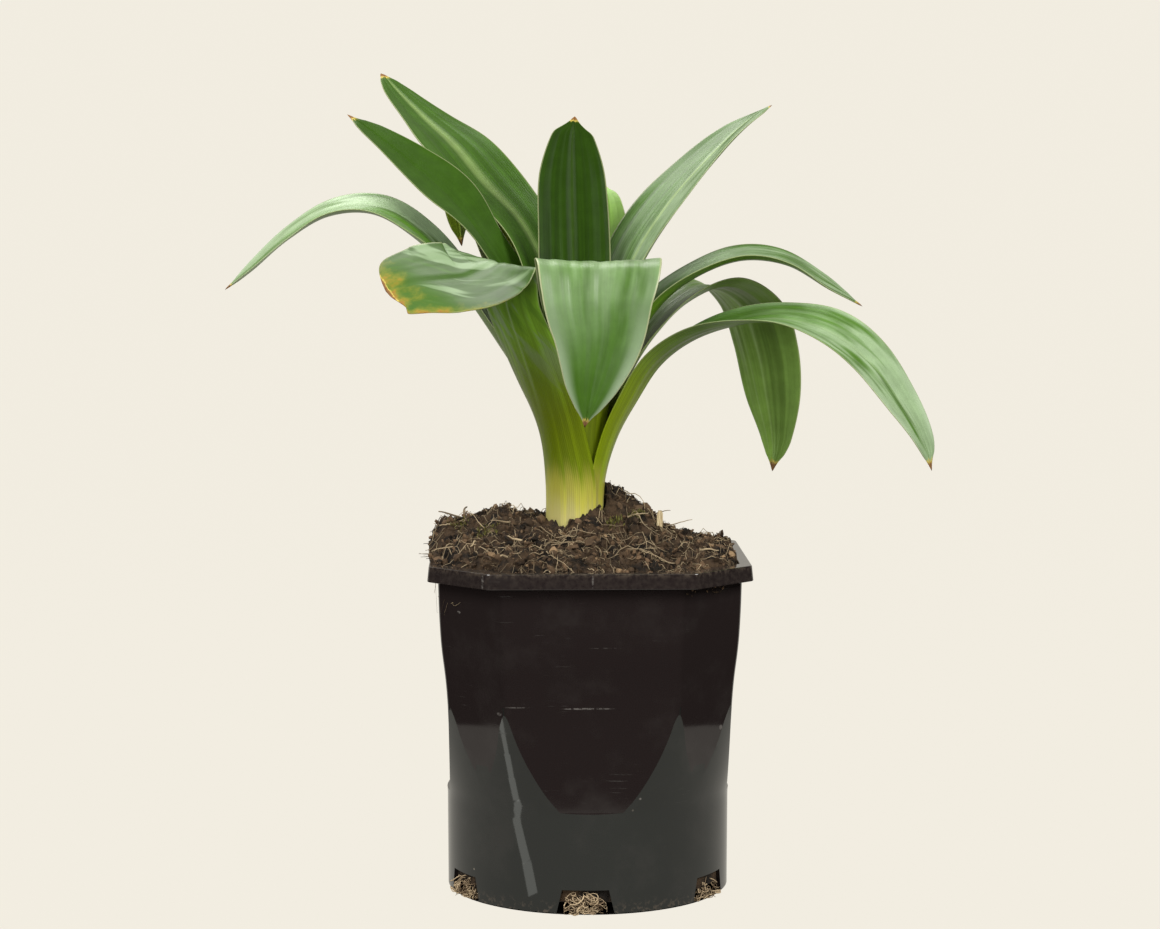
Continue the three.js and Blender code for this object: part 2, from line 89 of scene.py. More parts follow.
NOTCH_HEIGHT = 12.9
NOTCH_WIDTH = (30.0, 24.0)
NOTCH_DEPTH = 64.0
HOLE_RADIUS = 17.0
FLOOR_SLOPE = 4.0
CHIP_SIZE = (4.4, 1.6, 30.0)
CHIP_PLACE = (37.5, -12.0, 185.0)

# The soil, in millimetres: its gap to the pot, the heaps (rise, place, spread), the half turn in
# radians in which it spills over the left of the rim, and the holes for the neck and the bulb.
SOIL_GAP = 0.35
SOIL_HEAPS = ((15, (-6, 0), 36), (12, (-50, 0), 19), (7, (-74, -4), 11), (18, (13, 6), 14),
              (6, (32, 2), 10))
SPILL_HALF_TURN = 0.62
NECK_HOLE = 16.3
BULB_HOLE = ((18.85, 144), (24.85, 137), (29.35, 127), (29.85, 116), (25.35, 106), (17, 98.7),
             (8, 96.2), (0, 96.6))
MOSS_TUFTS = ((-68, -8, 5), (-52, -22, 6), (14, -17, 4.5), (26, -14, 4), (-30, 26, 6), (38, 20, 5))

# Marks on the front of the pot, with one painted highlight among them, the thin upright one at x
# -53 on the rim's front-left corner: x and height of the middle, half width, half height, strength.
FRONT_MARKS_AND_HIGHLIGHT = (
    (0.0, 106.5, 15, 0.55, 0.75), (-36, 107.3, 7, 0.4, 0.45), (-66, 153.5, 1.2, 0.8, 0.8),
    (26.5, 59.8, 0.8, 0.8, 1.0), (68.5, 92, 1.0, 1.6, 0.5), (-53, 172.5, 0.7, 4.0, 0.8),
    (2.3, 172.5, 0.6, 3.6, 0.6), (-45, 103.5, 1.4, 1.0, 0.5), (9, 138, 9, 0.3, 0.2))

# The slim light: its distance from the pot's middle, its joints (height, azimuth) and the width
# of each length between two joints. 4 W per square metre give a glow of one.
SLIM_DISTANCE = 94
SLIM_JOINTS = ((4, -27.25), (20.8, -30.7), (43.5, -36.55), (57.9, -36.6), (73.3, -36.15),
               (95, -35.85))
SLIM_WIDTHS = (8.4, 7.3, 6.0, 5.0, 3.6)
SLIM_POWER = 4.0

# The studio: in millimetres the floor's radius, the radius of its curve up to the backdrop and
# the backdrop's top, in metres the camera's place and in degrees its tilt down.
FLOOR_RADIUS = 2600
FLOOR_CURVE = 900
BACKDROP_TOP = 3600
CAMERA_PLACE = (-0.00407, -1.5, 0.37)
CAMERA_TILT = 5.575

# Each leaf: sheath azimuth, layer, half wrap, and its path of
# (azimuth, distance, height, width, half channel angle, roll, turn), as the solids have it.
LEAVES = {
    "leaf_left_front": (-45, 0, 72, (
        (-46, 19.5, 238, 0, 62, 0), (-45, 28.5, 263, 43, 38, 0), (-44, 39, 286, 42, 24, 0),
        (-47, 46, 306, 40, 16, 0, 2), (-48, 49, 320, 44, 10, 0, 2), (-47, 54, 330, 56, 6, -6, 0),
        (-47, 64, 327, 60, 6, -22, 0), (-48, 75, 323, 60, 8, -30, -12),
        (-51, 86, 322, 59, 10, -34, -20), (-54, 98, 321, 56, 12, -34, -22),
        (-57, 107, 319, 48, 10, -34, -22), (-58, 113, 317, 28, 8, -34, -22))),
    "leaf_right_low": (92, 0, 56, (
        (84, 21.5, 237, 34, 48, 0), (79, 32, 257, 38, 44, 0), (78, 45, 277, 42, 40, 0),
        (78, 62, 290, 44, 34, 2), (78, 84, 298, 45, 28, 5), (78, 108, 301, 45, 22, 11),
        (78, 132, 295, 43, 20, 22), (78, 153, 280, 38, 20, 26), (78, 171, 257, 30, 20, 26),
        (78, 182, 238, 18, 20, 26), (78, 187, 224, 3, 12, 26))),
    "leaf_back_left": (-165, 0, 38, (
        (-162, 21.5, 238, 28, 44, 0), (-154, 36, 268, 32, 40, 0), (-145, 56, 310, 34, 36, 0),
        (-138, 71, 342, 29, 32, 0), (-136, 84, 363, 24, 28, 0), (-136, 91, 364, 21, 26, 0),
        (-136, 92, 352, 15, 22, 0), (-136, 90, 337, 4, 10, 0))),
    "leaf_front": (10, 1, 57, (
        (8, 17.3, 238, 0, 50, 0), (8, 25, 268, 38, 40, 0), (9, 37, 296, 44, 28, 0),
        (9, 54, 320, 56, 14, 0), (9, 69, 331, 63, 6, 0), (8, 80, 329, 62, 5, 0),
        (7, 87, 315, 56, 8, 0), (7, 89, 294, 45, 12, 0), (5, 87, 271, 27, 14, 0),
        (3, 82, 250, 3, 10, 0))),
    "leaf_far_left": (-103, 1, 50, (
        (-99, 17.4, 238, 0, 46, 0), (-98, 25.5, 262, 27, 48, 0), (-97, 41.5, 288, 28, 40, -2),
        (-95, 62, 318, 40, 38, -6), (-95, 82, 342, 42, 30, -10), (-95, 105, 356, 40, 26, -12),
        (-95, 130, 355, 37, 24, -14), (-95, 152, 343, 31, 22, -16), (-95, 172, 326, 21, 20, -16),
        (-95, 187, 315, 3, 12, -14))),
    "leaf_right_back": (125, 1, 50, (
        (122, 17.6, 238, 0, 46, 0), (119, 25, 262, 38, 46, 0), (119, 42, 289, 44, 38, 0),
        (119, 62, 307, 48, 32, 0), (119, 85, 315, 50, 24, 0, 6), (119, 105, 304, 50, 20, 0, 14),
        (119, 115, 282, 46, 20, 0, 20), (119, 121, 254, 37, 20, 0, 20),
        (119, 124, 230, 20, 18, 0, 20), (119, 123, 214, 4, 10, 0, 20))),
    "leaf_right_arch": (98, 2, 60, (
        (98, 14.5, 238, 0, 56, 0), (98, 19, 264, 32, 50, 0), (98, 31, 288, 38, 44, 0),
        (98, 47, 310, 41, 36, 0), (98, 65, 323, 42, 30, 2), (98, 88, 331, 41, 24, 6),
        (98, 112, 329, 36, 22, 13), (98, 134, 317, 26, 22, 17), (98, 154, 306, 3, 12, 16))),
    "leaf_upper_left": (-116, 2, 62, (
        (-112, 14.5, 238, 0, 54, 0), (-108, 19, 272, 32, 46, 0), (-107, 30, 306, 38, 36, -6),
        (-106, 50.5, 340, 35, 26, -10), (-108, 71, 364, 40, 24, -20), (-108, 95, 383, 31, 24, -22),
        (-108, 115, 398, 18, 24, -20), (-108, 129, 408, 3, 12, -16))),
    "leaf_left_back": (-143, 3, 50, (
        (-143, 12.3, 238, 0, 46, 0), (-143, 16, 270, 0, 46, 0), (-143, 22.5, 300, 34, 42, 0),
        (-146, 32, 326, 36, 34, 0), (-146, 54, 350, 38, 24, 2), (-143, 83, 371, 52, 18, 0),
        (-143, 112, 391, 48, 16, 0), (-143, 142, 407, 36, 16, 0), (-143, 168, 422, 20, 16, 0),
        (-143, 186, 434, 6, 10, 0))),
    "leaf_back_right": (112, 3, 40, (
        (122, 12.2, 238, 0, 34, 0), (132, 16.5, 268, 20, 36, 0), (147, 30, 305, 24, 34, 0),
        (158, 47, 336, 26, 32, 0), (164, 62, 360, 16, 26, 0), (168, 72, 371, 3, 12, 0))),
    "leaf_upper_right": (98, 4, 56, (
        (104, 10, 238, 0, 54, 0), (112, 13.5, 270, 26, 50, 0), (120, 24, 304, 38, 44, 0),
        (125, 40, 334, 44, 36, 0), (125, 62, 361, 43, 34, 0), (125, 86, 383, 35, 32, 0),
        (125, 109, 401, 20, 28, 0), (125, 131, 414, 3, 12, 0))),
    "leaf_back": (-175, 5, 66, (
        (-176, 8, 238, 0, 60, 0), (-176, 10, 272, 24, 54, 0), (-176, 15, 310, 38, 40, 0),
        (-176, 24, 345, 40, 28, 0), (-176, 33, 375, 36, 24, 0), (-177, 39, 396, 23, 20, 0),
        (-179, 42, 407, 6, 12, 0))),
}

# Outer sheaths that overlap in the neck: extra half wrap in degrees, and how far one is tucked
# under the other.
SHEATH_FIT = {"leaf_left_front": (13.0, 0.0), "leaf_right_low": (5.0, 1.0),
              "leaf_back_left": (4.0, 0.4)}


# Shapes in numbers.

def outward(azimuth):
    turn = math.radians(azimuth)
    return np.array([math.sin(turn), -math.cos(turn), 0.0])


def seeded(seed):
    """A repeatable run of numbers in 0..1, the same as the solids use."""
    state = seed
    while True:
        state = (state * 16807) % 2147483647
        yield state / 2147483647


def full_turn(columns):
    """Equal turns round the axis, in radians."""
    return 2 * np.pi * np.arange(columns) / columns


def lathe_rows(profile, turn):
    """Rows of points on a profile of (radius, height), at turns in radians."""
    return [np.column_stack([r * np.cos(turn), r * np.sin(turn), np.full(len(turn), z)])
            for r, z in profile]


def squarish_ring(count, half_width, half_height, power):
    """Points of a ring between a circle and a rectangle, as (across, up)."""
    def corner(value, half):
        return math.copysign(abs(value) ** power, value) * half
    turns = [2 * math.pi * s / count for s in range(count)]
    return [(corner(math.cos(turn), half_width), corner(math.sin(turn), half_height))
            for turn in turns]


def smoothstep(value, low, high):
    share = np.clip((value - low) / (high - low), 0.0, 1.0)
    return share * share * (3 - 2 * share)


def spline_point(points, share):
    """Point of the centripetal curve through the points."""
    last = len(points) - 1
    place = min(max(share, 0.0), 1.0) * last
    i = min(int(place), last - 1)
    t = place - i
    p1, p2 = points[i], points[i + 1]
    p0 = points[i - 1] if i > 0 else 2 * p1 - p2
    p3 = points[i + 2] if i + 2 <= last else 2 * p2 - p1
    d0, d1, d2 = (float(np.dot(b - a, b - a)) ** 0.25 for a, b in ((p0, p1), (p1, p2), (p2, p3)))
    t1 = ((p1 - p0) / d0 - (p2 - p0) / (d0 + d1) + (p2 - p1) / d1) * d1
    t2 = ((p2 - p1) / d1 - (p3 - p1) / (d1 + d2) + (p3 - p2) / d2) * d1
    return (p1 + t1 * t + (-3 * p1 + 3 * p2 - 2 * t1 - t2) * t * t
            + (2 * p1 - 2 * p2 + t1 + t2) * t ** 3)


def along(values, share):
    """Smooth value through one number of every path point."""
    place = share * (len(values) - 1)
    i = min(int(place), len(values) - 2)
    t = place - i
    a, b, c, d = (values[max(i - 1, 0)], values[i], values[i + 1],
                  values[min(i + 2, len(values) - 1)])
    lead, trail = (c - a) / 2, (d - b) / 2
    return (b + lead * t + (3 * (c - b) - 2 * lead - trail) * t * t
            + (2 * (b - c) + lead + trail) * t ** 3)


# Meshes.

def nothing_selected():
    if bpy.context.object and bpy.context.object.mode != "OBJECT":
        bpy.ops.object.mode_set(mode="OBJECT")
    bpy.ops.object.select_all(action="DESELECT")


def only(piece):
    nothing_selected()
    piece.select_set(True)
    bpy.context.view_layer.objects.active = piece


def in_edit(piece, *steps):
    """Runs edit-mode steps on the whole piece."""
    only(piece)
    bpy.ops.object.mode_set(mode="EDIT")
    bpy.ops.mesh.select_all(action="SELECT")
    for step in steps:
        step()
    bpy.ops.object.mode_set(mode="OBJECT")


def turned(piece, degrees, axis="Z"):
    """Turns a whole piece about an axis through the origin."""
    # With no window this operator turns the other way round.
    in_edit(piece, lambda: bpy.ops.transform.rotate(
        value=-math.radians(degrees), orient_axis=axis, center_override=(0, 0, 0)))


def set_marks(mesh, marks, domain="POINT"):
    """Stores one number per point or face under each name."""
    for mark, values in marks.items():
        layer = mesh.attributes.new(mark, "FLOAT", domain)
        layer.data.foreach_set("value", np.asarray(values, dtype=np.float32).ravel())


def grid_piece(name, places, uv=None, closed=False, capped=False, marks=None, angle=None):
    """A grid primitive laid over rows of points in millimetres.

    closed joins the last column to the first, capped fills the open ends, uv gives each
    point's place in the pattern and marks holds one number per point under a name.
    """
    places = np.asarray(places, dtype=float)
    if closed:
        places = np.concatenate([places, places[:, :1]], axis=1)
    rows, columns = places.shape[:2]
    nothing_selected()
    bpy.ops.mesh.primitive_grid_add(x_subdivisions=columns - 1, y_subdivisions=rows - 1, size=1)
    piece = bpy.context.object
    piece.name = piece.data.name = name
    mesh = piece.data
    if len(mesh.vertices) != rows * columns:
        raise RuntimeError(f"{name}: {len(mesh.vertices)} points, not {rows * columns}")
    mesh.vertices.foreach_set("co", (places * MM).astype(np.float32).ravel())
    if uv is not None:
        corners = np.empty(len(mesh.loops), dtype=np.int32)
        mesh.loops.foreach_get("vertex_index", corners)
        flat = np.asarray(uv, dtype=np.float32).reshape(-1, 2)
        mesh.uv_layers[0].data.foreach_set("uv", flat[corners].ravel())
    set_marks(mesh, marks or {})
    mesh.update()
    steps = [lambda: bpy.ops.mesh.remove_doubles(threshold=1e-7)] if closed else []
    if capped:
        steps.append(close_ends)
    if closed:
        steps.append(lambda: bpy.ops.mesh.normals_make_consistent(inside=False))
    in_edit(piece, *steps)
    if angle is None:
        only(piece)
        bpy.ops.object.shade_smooth()
    else:
        smooth(piece, angle)
    return piece


def close_ends():
    bpy.ops.mesh.select_all(action="DESELECT")
    bpy.ops.mesh.select_non_manifold(extend=False, use_wire=False, use_multi_face=False,
                                     use_non_contiguous=False, use_verts=False)
    bpy.ops.mesh.fill_holes(sides=0)
    bpy.ops.mesh.select_all(action="SELECT")


def smooth(piece, angle):
    only(piece)
    bpy.ops.object.shade_smooth_by_angle(angle=math.radians(angle))


def combine(piece, tool, way):
    """Joins, cuts or trims the piece by a tool body, which is then removed."""
    only(piece)
    change = piece.modifiers.new("combine", "BOOLEAN")
    change.operation = way
    change.object = tool
    change.solver = "EXACT"
    bpy.ops.object.modifier_apply(modifier=change.name)
    bpy.data.objects.remove(tool, do_unlink=True)
    if not len(piece.data.polygons):
        raise RuntimeError(f"{piece.name}: nothing is left after {way}")


def many_tubes(name, paths, radii, tones, sides):
    """One mesh of many thin bent rods, each a path in millimetres with its radii and tone."""
    points, faces, tone = [], [], []
    start = 0
    turn = full_turn(sides)
    for path, radius, shade in zip(paths, radii, tones):
        count = len(path)
        ahead = np.gradient(path, axis=0)
        ahead /= np.linalg.norm(ahead, axis=1)[:, None] + 1e-9
        steep = abs(ahead[:, 2]).max() >= 0.9
        side = np.cross(ahead, (0.9, 0.4, 0.1) if steep else (0.31, 0.17, 0.93))
        side /= np.linalg.norm(side, axis=1)[:, None] + 1e-9
        up = np.cross(side, ahead)
        ring = path[:, None] + radius[:, None, None] * (
            np.cos(turn)[:, None] * side[:, None] + np.sin(turn)[:, None] * up[:, None])
        points.append(ring.reshape(-1, 3))
        index = start + np.arange(count * sides).reshape(count, sides)
        a, b = index[:-1], index[1:]
        a2, b2 = np.roll(a, -1, axis=1), np.roll(b, -1, axis=1)
        faces.extend(np.stack([a, a2, b2, b], axis=-1).reshape(-1, 4).tolist())
        faces += [index[0][::-1].tolist(), index[-1].tolist()]
        tone.append(np.full(count * sides, shade))
        start += count * sides
    return raw_piece(name, np.concatenate(points), faces, np.concatenate(tone))


def raw_piece(name, points, faces, tones):
    """A piece of many small copies whose points are counted in code, with a tone for each."""
    mesh = bpy.data.meshes.new(name)
    mesh.from_pydata((np.asarray(points) * MM).tolist(), [], faces)
    set_marks(mesh, {"tone": tones})
    mesh.update()
    piece = bpy.data.objects.new(name, mesh)
    bpy.context.scene.collection.objects.link(piece)
    in_edit(piece, lambda: bpy.ops.mesh.normals_make_consistent(inside=False))
    only(piece)
    bpy.ops.object.shade_smooth()
    return piece


def dress(piece, material, slot, *nodes):
    """Gives a finished piece its material and body and hides the solids it stands for; slot is not
    used.
    """
    piece.data.materials.clear()
    piece.data.materials.append(material)
    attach(piece, BODY)
    if nodes:
        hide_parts(*nodes)
    return piece


# Leaves.

def leaf_rows(node, settings, seed):
    """Rows of points round the blade, with each point's pattern place and marks."""
    sheath, layer, wrap, tail = LEAVES[node]
    overlap, tuck = SHEATH_FIT.get(node, (0.0, 0.0))
    radius = NECK_RADIUS - layer * LAYER_PITCH - tuck
    path = [(sheath, radius, z, 0, wrap, 0) for z in (LEAF_START, 184.0, 214.0)] + list(tail)
    facing = [p[0] + (p[6] if len(p) > 6 else 0) for p in path]
    widths = [p[3] or 2 * p[1] * math.radians(p[4]) for p in path]
    halves = [p[4] for p in path]
    halves[:4] = [half + overlap * share for half, share in zip(halves, (1, 1, 1, 0.5))]
    widths[:3] = [2 * radius * math.radians(half) for half in halves[:3]]
    rolls = [p[5] for p in path]
    midrib = [outward(p[0]) * p[1] + np.array([NECK[0], NECK[1], p[2]]) for p in path]
    steps = (len(path) - 1) * settings.leaf_rows
    shares = np.linspace(0.0, 1.0, steps + 1)
    feet = np.array([spline_point(midrib, share) for share in shares])
    run = np.concatenate([[0.0], np.cumsum(np.linalg.norm(np.diff(feet, axis=0), axis=1))])
    to_tip = run[-1] - run
    blunt = widths[-1] > 10
    u = np.linspace(-1.0, 1.0, settings.leaf_columns + 1)
    phase = 1.7 * seed
    rows, places, inner_face, from_base = [], [], [], []
    for i, share in enumerate(shares):
        before, after = max(share - 1e-4, 0.0), min(share + 1e-4, 1.0)
        ahead = spline_point(midrib, after) - spline_point(midrib, before)
        ahead /= np.linalg.norm(ahead)
        width = along(widths, share)
        half = max(math.radians(along(halves, share)), 0.02)
        roll = math.radians(along(rolls, share))
        side = outward(along(facing, share) + 90)
        side = side - ahead * np.dot(side, ahead)
        side /= np.linalg.norm(side)
        side = side * math.cos(roll) + np.cross(ahead, side) * math.sin(roll)
        up = np.cross(ahead, side)
        close = 1.0 - min(to_tip[i] / (5.0 if blunt else 9.0), 1.0)
        point = math.sqrt(max(1.0 - close ** 2, 0.0)) if blunt else (1.0 - close) ** 0.55
        bend = width / (2 * half)
        turn = u * half
        across = point * bend * np.sin(turn)
        lift = bend * (1 - np.cos(turn)) * point
        normal = np.cos(turn)[:, None] * up - np.sin(turn)[:, None] * side
        free = float(smoothstep(run[i], 88, 135)) * point
        wide = min(width / 40.0, 1.3)
        fold = (settings.fold_depth / MM) * wide * LEAF_LOOKS[node]["stripe"] * (
            np.cos(2 * np.pi * (1.9 * u + 0.13 * math.sin(run[i] / 31 + phase)) + phase)
            + 0.7 * np.cos(2 * np.pi * 3.3 * u + 0.6 * math.sin(run[i] / 23 + phase) + 2 * phase)
            + 0.4 * np.cos(2 * np.pi * 6.1 * u + 3 * phase))
        keel = -(settings.keel_depth / MM) * np.exp(-(u / 0.085) ** 2)
        wave = (settings.wave_height / MM) * wide * np.abs(u) ** 3 * np.where(
            u > 0, math.sin(run[i] / 10.5 + phase), math.sin(run[i] / 13.1 + 2.3 * phase + 1))
        relief = free * (fold * (1 - u ** 6) + keel + wave * smoothstep(run[i], 120, 170))
        base = feet[i] + across[:, None] * side + lift[:, None] * up + relief[:, None] * normal
        thick = (BLADE_EDGE * 0.6 + (BLADE_MIDDLE * 0.95 - BLADE_EDGE * 0.6) * (1 - u ** 2)) * point
        over = base + thick[:, None] * normal
        rim = np.cos(turn)[:, None] * side + np.sin(turn)[:, None] * up
        middle = (base + over) / 2
        right = middle[-1] + rim[-1] * thick[-1] * 0.45
        left = middle[0] - rim[0] * thick[0] * 0.45
        rows.append(np.concatenate([base, [right], over[::-1], [left]]))
        ring = np.concatenate([u, [1.0], u[::-1], [-1.0]])
        places.append(np.stack([(ring + 1) / 2, np.full(len(ring), to_tip[i] / 100)], axis=-1))
        inner_face.append(np.concatenate([np.zeros(len(u)), [0.5], np.ones(len(u)), [0.5]]))
        from_base.append(np.full(len(ring), run[i] / 100))
    last = rows[-1].mean(axis=0)
    rows[-1][:] = last
    return np.array(rows), np.array(places), np.array(inner_face), np.array(from_base)


def close_columns(values):
    return np.concatenate([values, values[:, :1]], axis=1)


def make_leaf(node, settings, seed):
    rows, places, inner_face, from_base = leaf_rows(node, settings, seed)
    return grid_piece(node.replace("leaf", "blade"), rows, uv=close_columns(places), closed=True,
                      capped=True, marks={"inner_face": close_columns(inner_face),
                                          "from_base": close_columns(from_base)})


# Pot.

def octagon(flat, corner, round_off, arc=6, straight=5):
    """Ring of an eight-sided section with rounded corners, counter-clockwise."""
    reach = math.sqrt(2) * corner - flat
    back = round_off / math.cos(math.radians(22.5))
    ring = []
    for side in range(4):
        for (x, y), start in (((flat, reach), 0), ((reach, flat), 45)):
            lean = math.radians(start + 22.5)
            centre = (x - back * math.cos(lean), y - back * math.sin(lean))
            for k in range(arc + 1):
                turn = math.radians(start + 45 * k / arc)
                ring.append((centre[0] + round_off * math.cos(turn),
                             centre[1] + round_off * math.sin(turn), side))
    points = []
    for x, y, side in ring:
        cos, sin = math.cos(side * math.pi / 2), math.sin(side * math.pi / 2)
        points.append((x * cos - y * sin, x * sin + y * cos))
    full = []
    for k, here in enumerate(points):
        full.append(here)
        if k % (arc + 1) == arc:
            ahead = points[(k + 1) % len(points)]
            full += [(here[0] + (ahead[0] - here[0]) * s / straight,
                      here[1] + (ahead[1] - here[1]) * s / straight) for s in range(1, straight)]
    return np.array(full)


def flats_at(z, drop=0.0):
    """Distances of the wide and the corner flats at a height."""
    heights = [row[0] - (drop if row[0] in POT_LEDGE else 0) for row in POT_FLATS]
    spread = np.linspace(-7, 7, 8) if z > POT_LEDGE[1] + 8 else np.zeros(1)
    near = np.clip(z + spread, POT_LEDGE[1] + 0.01, None) if z > POT_LEDGE[1] else z + spread
    return (float(np.interp(near, heights, [row[1] for row in POT_FLATS]).mean()),
            float(np.interp(near, heights, [row[2] for row in POT_FLATS]).mean()))


def bell_at(z):
    spread = np.linspace(-2, 2, 5) if z < 58 else np.linspace(-7, 7, 8)
    return float(np.interp(z + spread, [p[1] for p in POT_BELL], [p[0] for p in POT_BELL]).mean())


def pot_space(name, inset, bottom, columns, gap):
    """The body inside the pot's outside once that is moved in by an inset."""
    heights = [-4, POT_LEDGE[0] - inset, POT_LEDGE[1] - inset] + list(np.arange(56, 185, gap))
    rows = []
    for z in heights:
        flat, corner = flats_at(z, inset)
        ring = octagon(flat - inset, corner - inset, CORNER_ROUND)
        rows.append(np.column_stack([ring, np.full(len(ring), z)]))
    flats = grid_piece(name, rows, closed=True, capped=True)
    wall = [(bell_at(z) - inset, z) for z in [bottom[-1][1] + 1] + list(np.arange(10, 186, gap))]
    profile = list(bottom) + wall + [(0, wall[-1][1])]
    bell = grid_piece("bell", lathe_rows(profile, full_turn(columns)), closed=True)
    combine(flats, bell, "INTERSECT")
    return flats


def section_sweep(name, section, round_off):
    """Ring body whose section is a list of (flat, corner, height)."""
    rows = []
    for flat, corner, z in list(section) + [section[0]]:
        ring = octagon(flat, corner, round_off)
        rows.append(np.column_stack([ring, np.full(len(ring), z)]))
    return grid_piece(name, rows, closed=True)


def notch_plug(azimuth, inner, outer):
    foot, top = NOTCH_WIDTH[0] / 2, NOTCH_WIDTH[1] / 2
    low = -2.0
    wide = foot + (foot - top) * -low / NOTCH_HEIGHT
    across = outward(azimuth + 90)
    rows = []
    for distance in (inner, outer):
        middle = outward(azimuth) * distance
        rows.append([middle + across * s + np.array([0, 0, z]) for s, z in (
            (-wide, low), (wide, low), (top, NOTCH_HEIGHT), (-top, NOTCH_HEIGHT))])
    return grid_piece("plug", rows, closed=True, capped=True)


def make_rim():
    """Flanged rim with a short skirt, rounded along its edges."""
    edge, nick = 0.5, 0.15
    foot, under = POT_HEIGHT - RIM_HEIGHT, POT_HEIGHT - RIM_SKIN - 0.5
    skirt_in = [side - RIM_SKIN for side in RIM_FOOT]
    flange_in = [side - RIM_SKIN for side in RIM_TOP]
    inner = [side - POT_WALL - 0.15 for side in flats_at(POT_HEIGHT)]
    section = [[side + move for side in sides] + [z] for sides, move, z in (
        (skirt_in, 0, foot), (RIM_FOOT, -edge, foot), (RIM_FOOT, -0.1, foot + nick),
        (RIM_FOOT, 0, foot + edge), (RIM_TOP, 0, POT_HEIGHT - edge),
        (RIM_TOP, -nick, POT_HEIGHT - nick), (RIM_TOP, -edge, POT_HEIGHT),
        (inner, edge, POT_HEIGHT), (inner, nick, POT_HEIGHT - nick),
        (inner, 0, POT_HEIGHT - edge), (inner, 0, under), (flange_in, 0, under))]
    return section_sweep("rim", section, CORNER_ROUND)


def make_pot(settings):
    foot_inner = POT_BELL[0][0] - POT_WALL
    slope_end = STAND_RADIUS + FLOOR_SLOPE
    bottom = [(0, 0), (STAND_RADIUS, 0), (slope_end, FLOOR_RISE), (foot_inner, FLOOR_RISE),
              (foot_inner, POT_BELL[0][1]), POT_BELL[0]]
    pot = pot_space("nursery_pot", 0.0, bottom, settings.pot_columns, settings.pot_gap / MM)
    trim_top(pot, POT_HEIGHT - 1.0)
    floor = [(0, POT_WALL), (STAND_RADIUS, POT_WALL), (slope_end, FLOOR_RISE + POT_WALL),
             (foot_inner, FLOOR_RISE + POT_WALL)]
    combine(pot, pot_space("inside", POT_WALL, floor, 96, 9.0), "DIFFERENCE")
    combine(pot, make_rim(), "UNION")
    turned(pot, POT_TURN)
    for k in range(NOTCH_COUNT):
        combine(pot, notch_plug(NOTCH_TURN + 360 / NOTCH_COUNT * k, NOTCH_DEPTH, 84), "DIFFERENCE")
    in_edit(pot, lambda: bpy.ops.mesh.remove_doubles(threshold=2e-6))
    smooth(pot, 8)
    mark_round_part(pot)
    return pot


def mark_round_part(pot):
    """Marks the faces of the round part, which the flats run out on."""
    marks = []
    for face in pot.data.polygons:
        x, y, z = face.center / MM
        off = math.degrees(math.atan2(face.normal.y, face.normal.x) - math.atan2(y, x))
        off = abs((off + 180) % 360 - 180)
        near = abs(math.hypot(x, y) - bell_at(z)) < 0.4
        marks.append(1.0 if near and off < 4 and z < 122 else 0.0)
    set_marks(pot.data, {"round_part": marks}, "FACE")


def trim_top(piece, height):
    in_edit(piece, lambda: bpy.ops.mesh.bisect(
        plane_co=(0, 0, height * MM), plane_no=(0, 0, 1), use_fill=True, clear_outer=True))


# Soil.

def scatter_lumps():
    random = seeded(411)
    lumps = []
    for _ in range(150):
        distance = 84 * math.sqrt(next(random))
        turn = 2 * math.pi * next(random)
        x, y = distance * math.cos(turn), distance * math.sin(turn)
        size = 3 + 4 * next(random)
        lumps.append((x, y, size, 6 * next(random) - 2.4))
    return np.array(lumps)


LUMPS = scatter_lumps()


def bump(x, y, middle, spread):
    return np.exp(-((x - middle[0]) ** 2 + (y - middle[1]) ** 2) / (2 * spread * spread))


def spill_at(turn):
    """How fully the soil spills over the rim, which it does at the left, by turns in radians."""
    return np.exp(-((np.abs(np.abs(turn) - np.pi) / SPILL_HALF_TURN) ** 4))


def soil_height(x, y):
    height = POT_HEIGHT
    for rise, middle, spread in SOIL_HEAPS:
        height = height + rise * bump(x, y, middle, spread)
    height = height + 2.5 * smoothstep(x, 44, 66)
    sag = 0.08 - 0.07 * smoothstep(x, 20, 50)
    height = height - sag * np.maximum(0, np.hypot(x + 6, y) - 68) ** 2
    for lump_x, lump_y, size, rise in LUMPS:
        height = height + rise * bump(x, y, (lump_x, lump_y), size)
    return height


def crumbled(x, y):
    """Soil height with its clods and crumbs, in millimetres."""
    flat_x, flat_y = np.ravel(x), np.ravel(y)
    rough = np.array([
        3.6 * noise.fractal(Vector((a / 8, b / 8, 3.1)), 1.0, 2.0, 3)
        + 2.2 * abs(noise.noise(Vector((a / 2.6, b / 2.6, 7.7))))
        + 0.8 * noise.noise(Vector((a / 1.1, b / 1.1, 1.7)))
        for a, b in zip(flat_x, flat_y)])
    return soil_height(x, y) + rough.reshape(np.shape(x))


def wall_distance(turn, z, inset):
    """How far the pot's inside is from its middle, in the direction of a turn in radians."""
    if np.ndim(z):
        return np.array([wall_distance(a, float(b), inset) for a, b in zip(turn, z)])
    flat, corner = flats_at(z, inset)
    sides = []
    for k in range(8):
        away = np.cos(turn - math.radians(POT_TURN) - k * math.pi / 4)
        distance = flat if k % 2 == 0 else corner
        sides.append(np.where(away > 0.3, (distance - inset) / np.maximum(away, 0.3), 1e3))
    return np.minimum(np.min(sides, axis=0), bell_at(z) - inset)


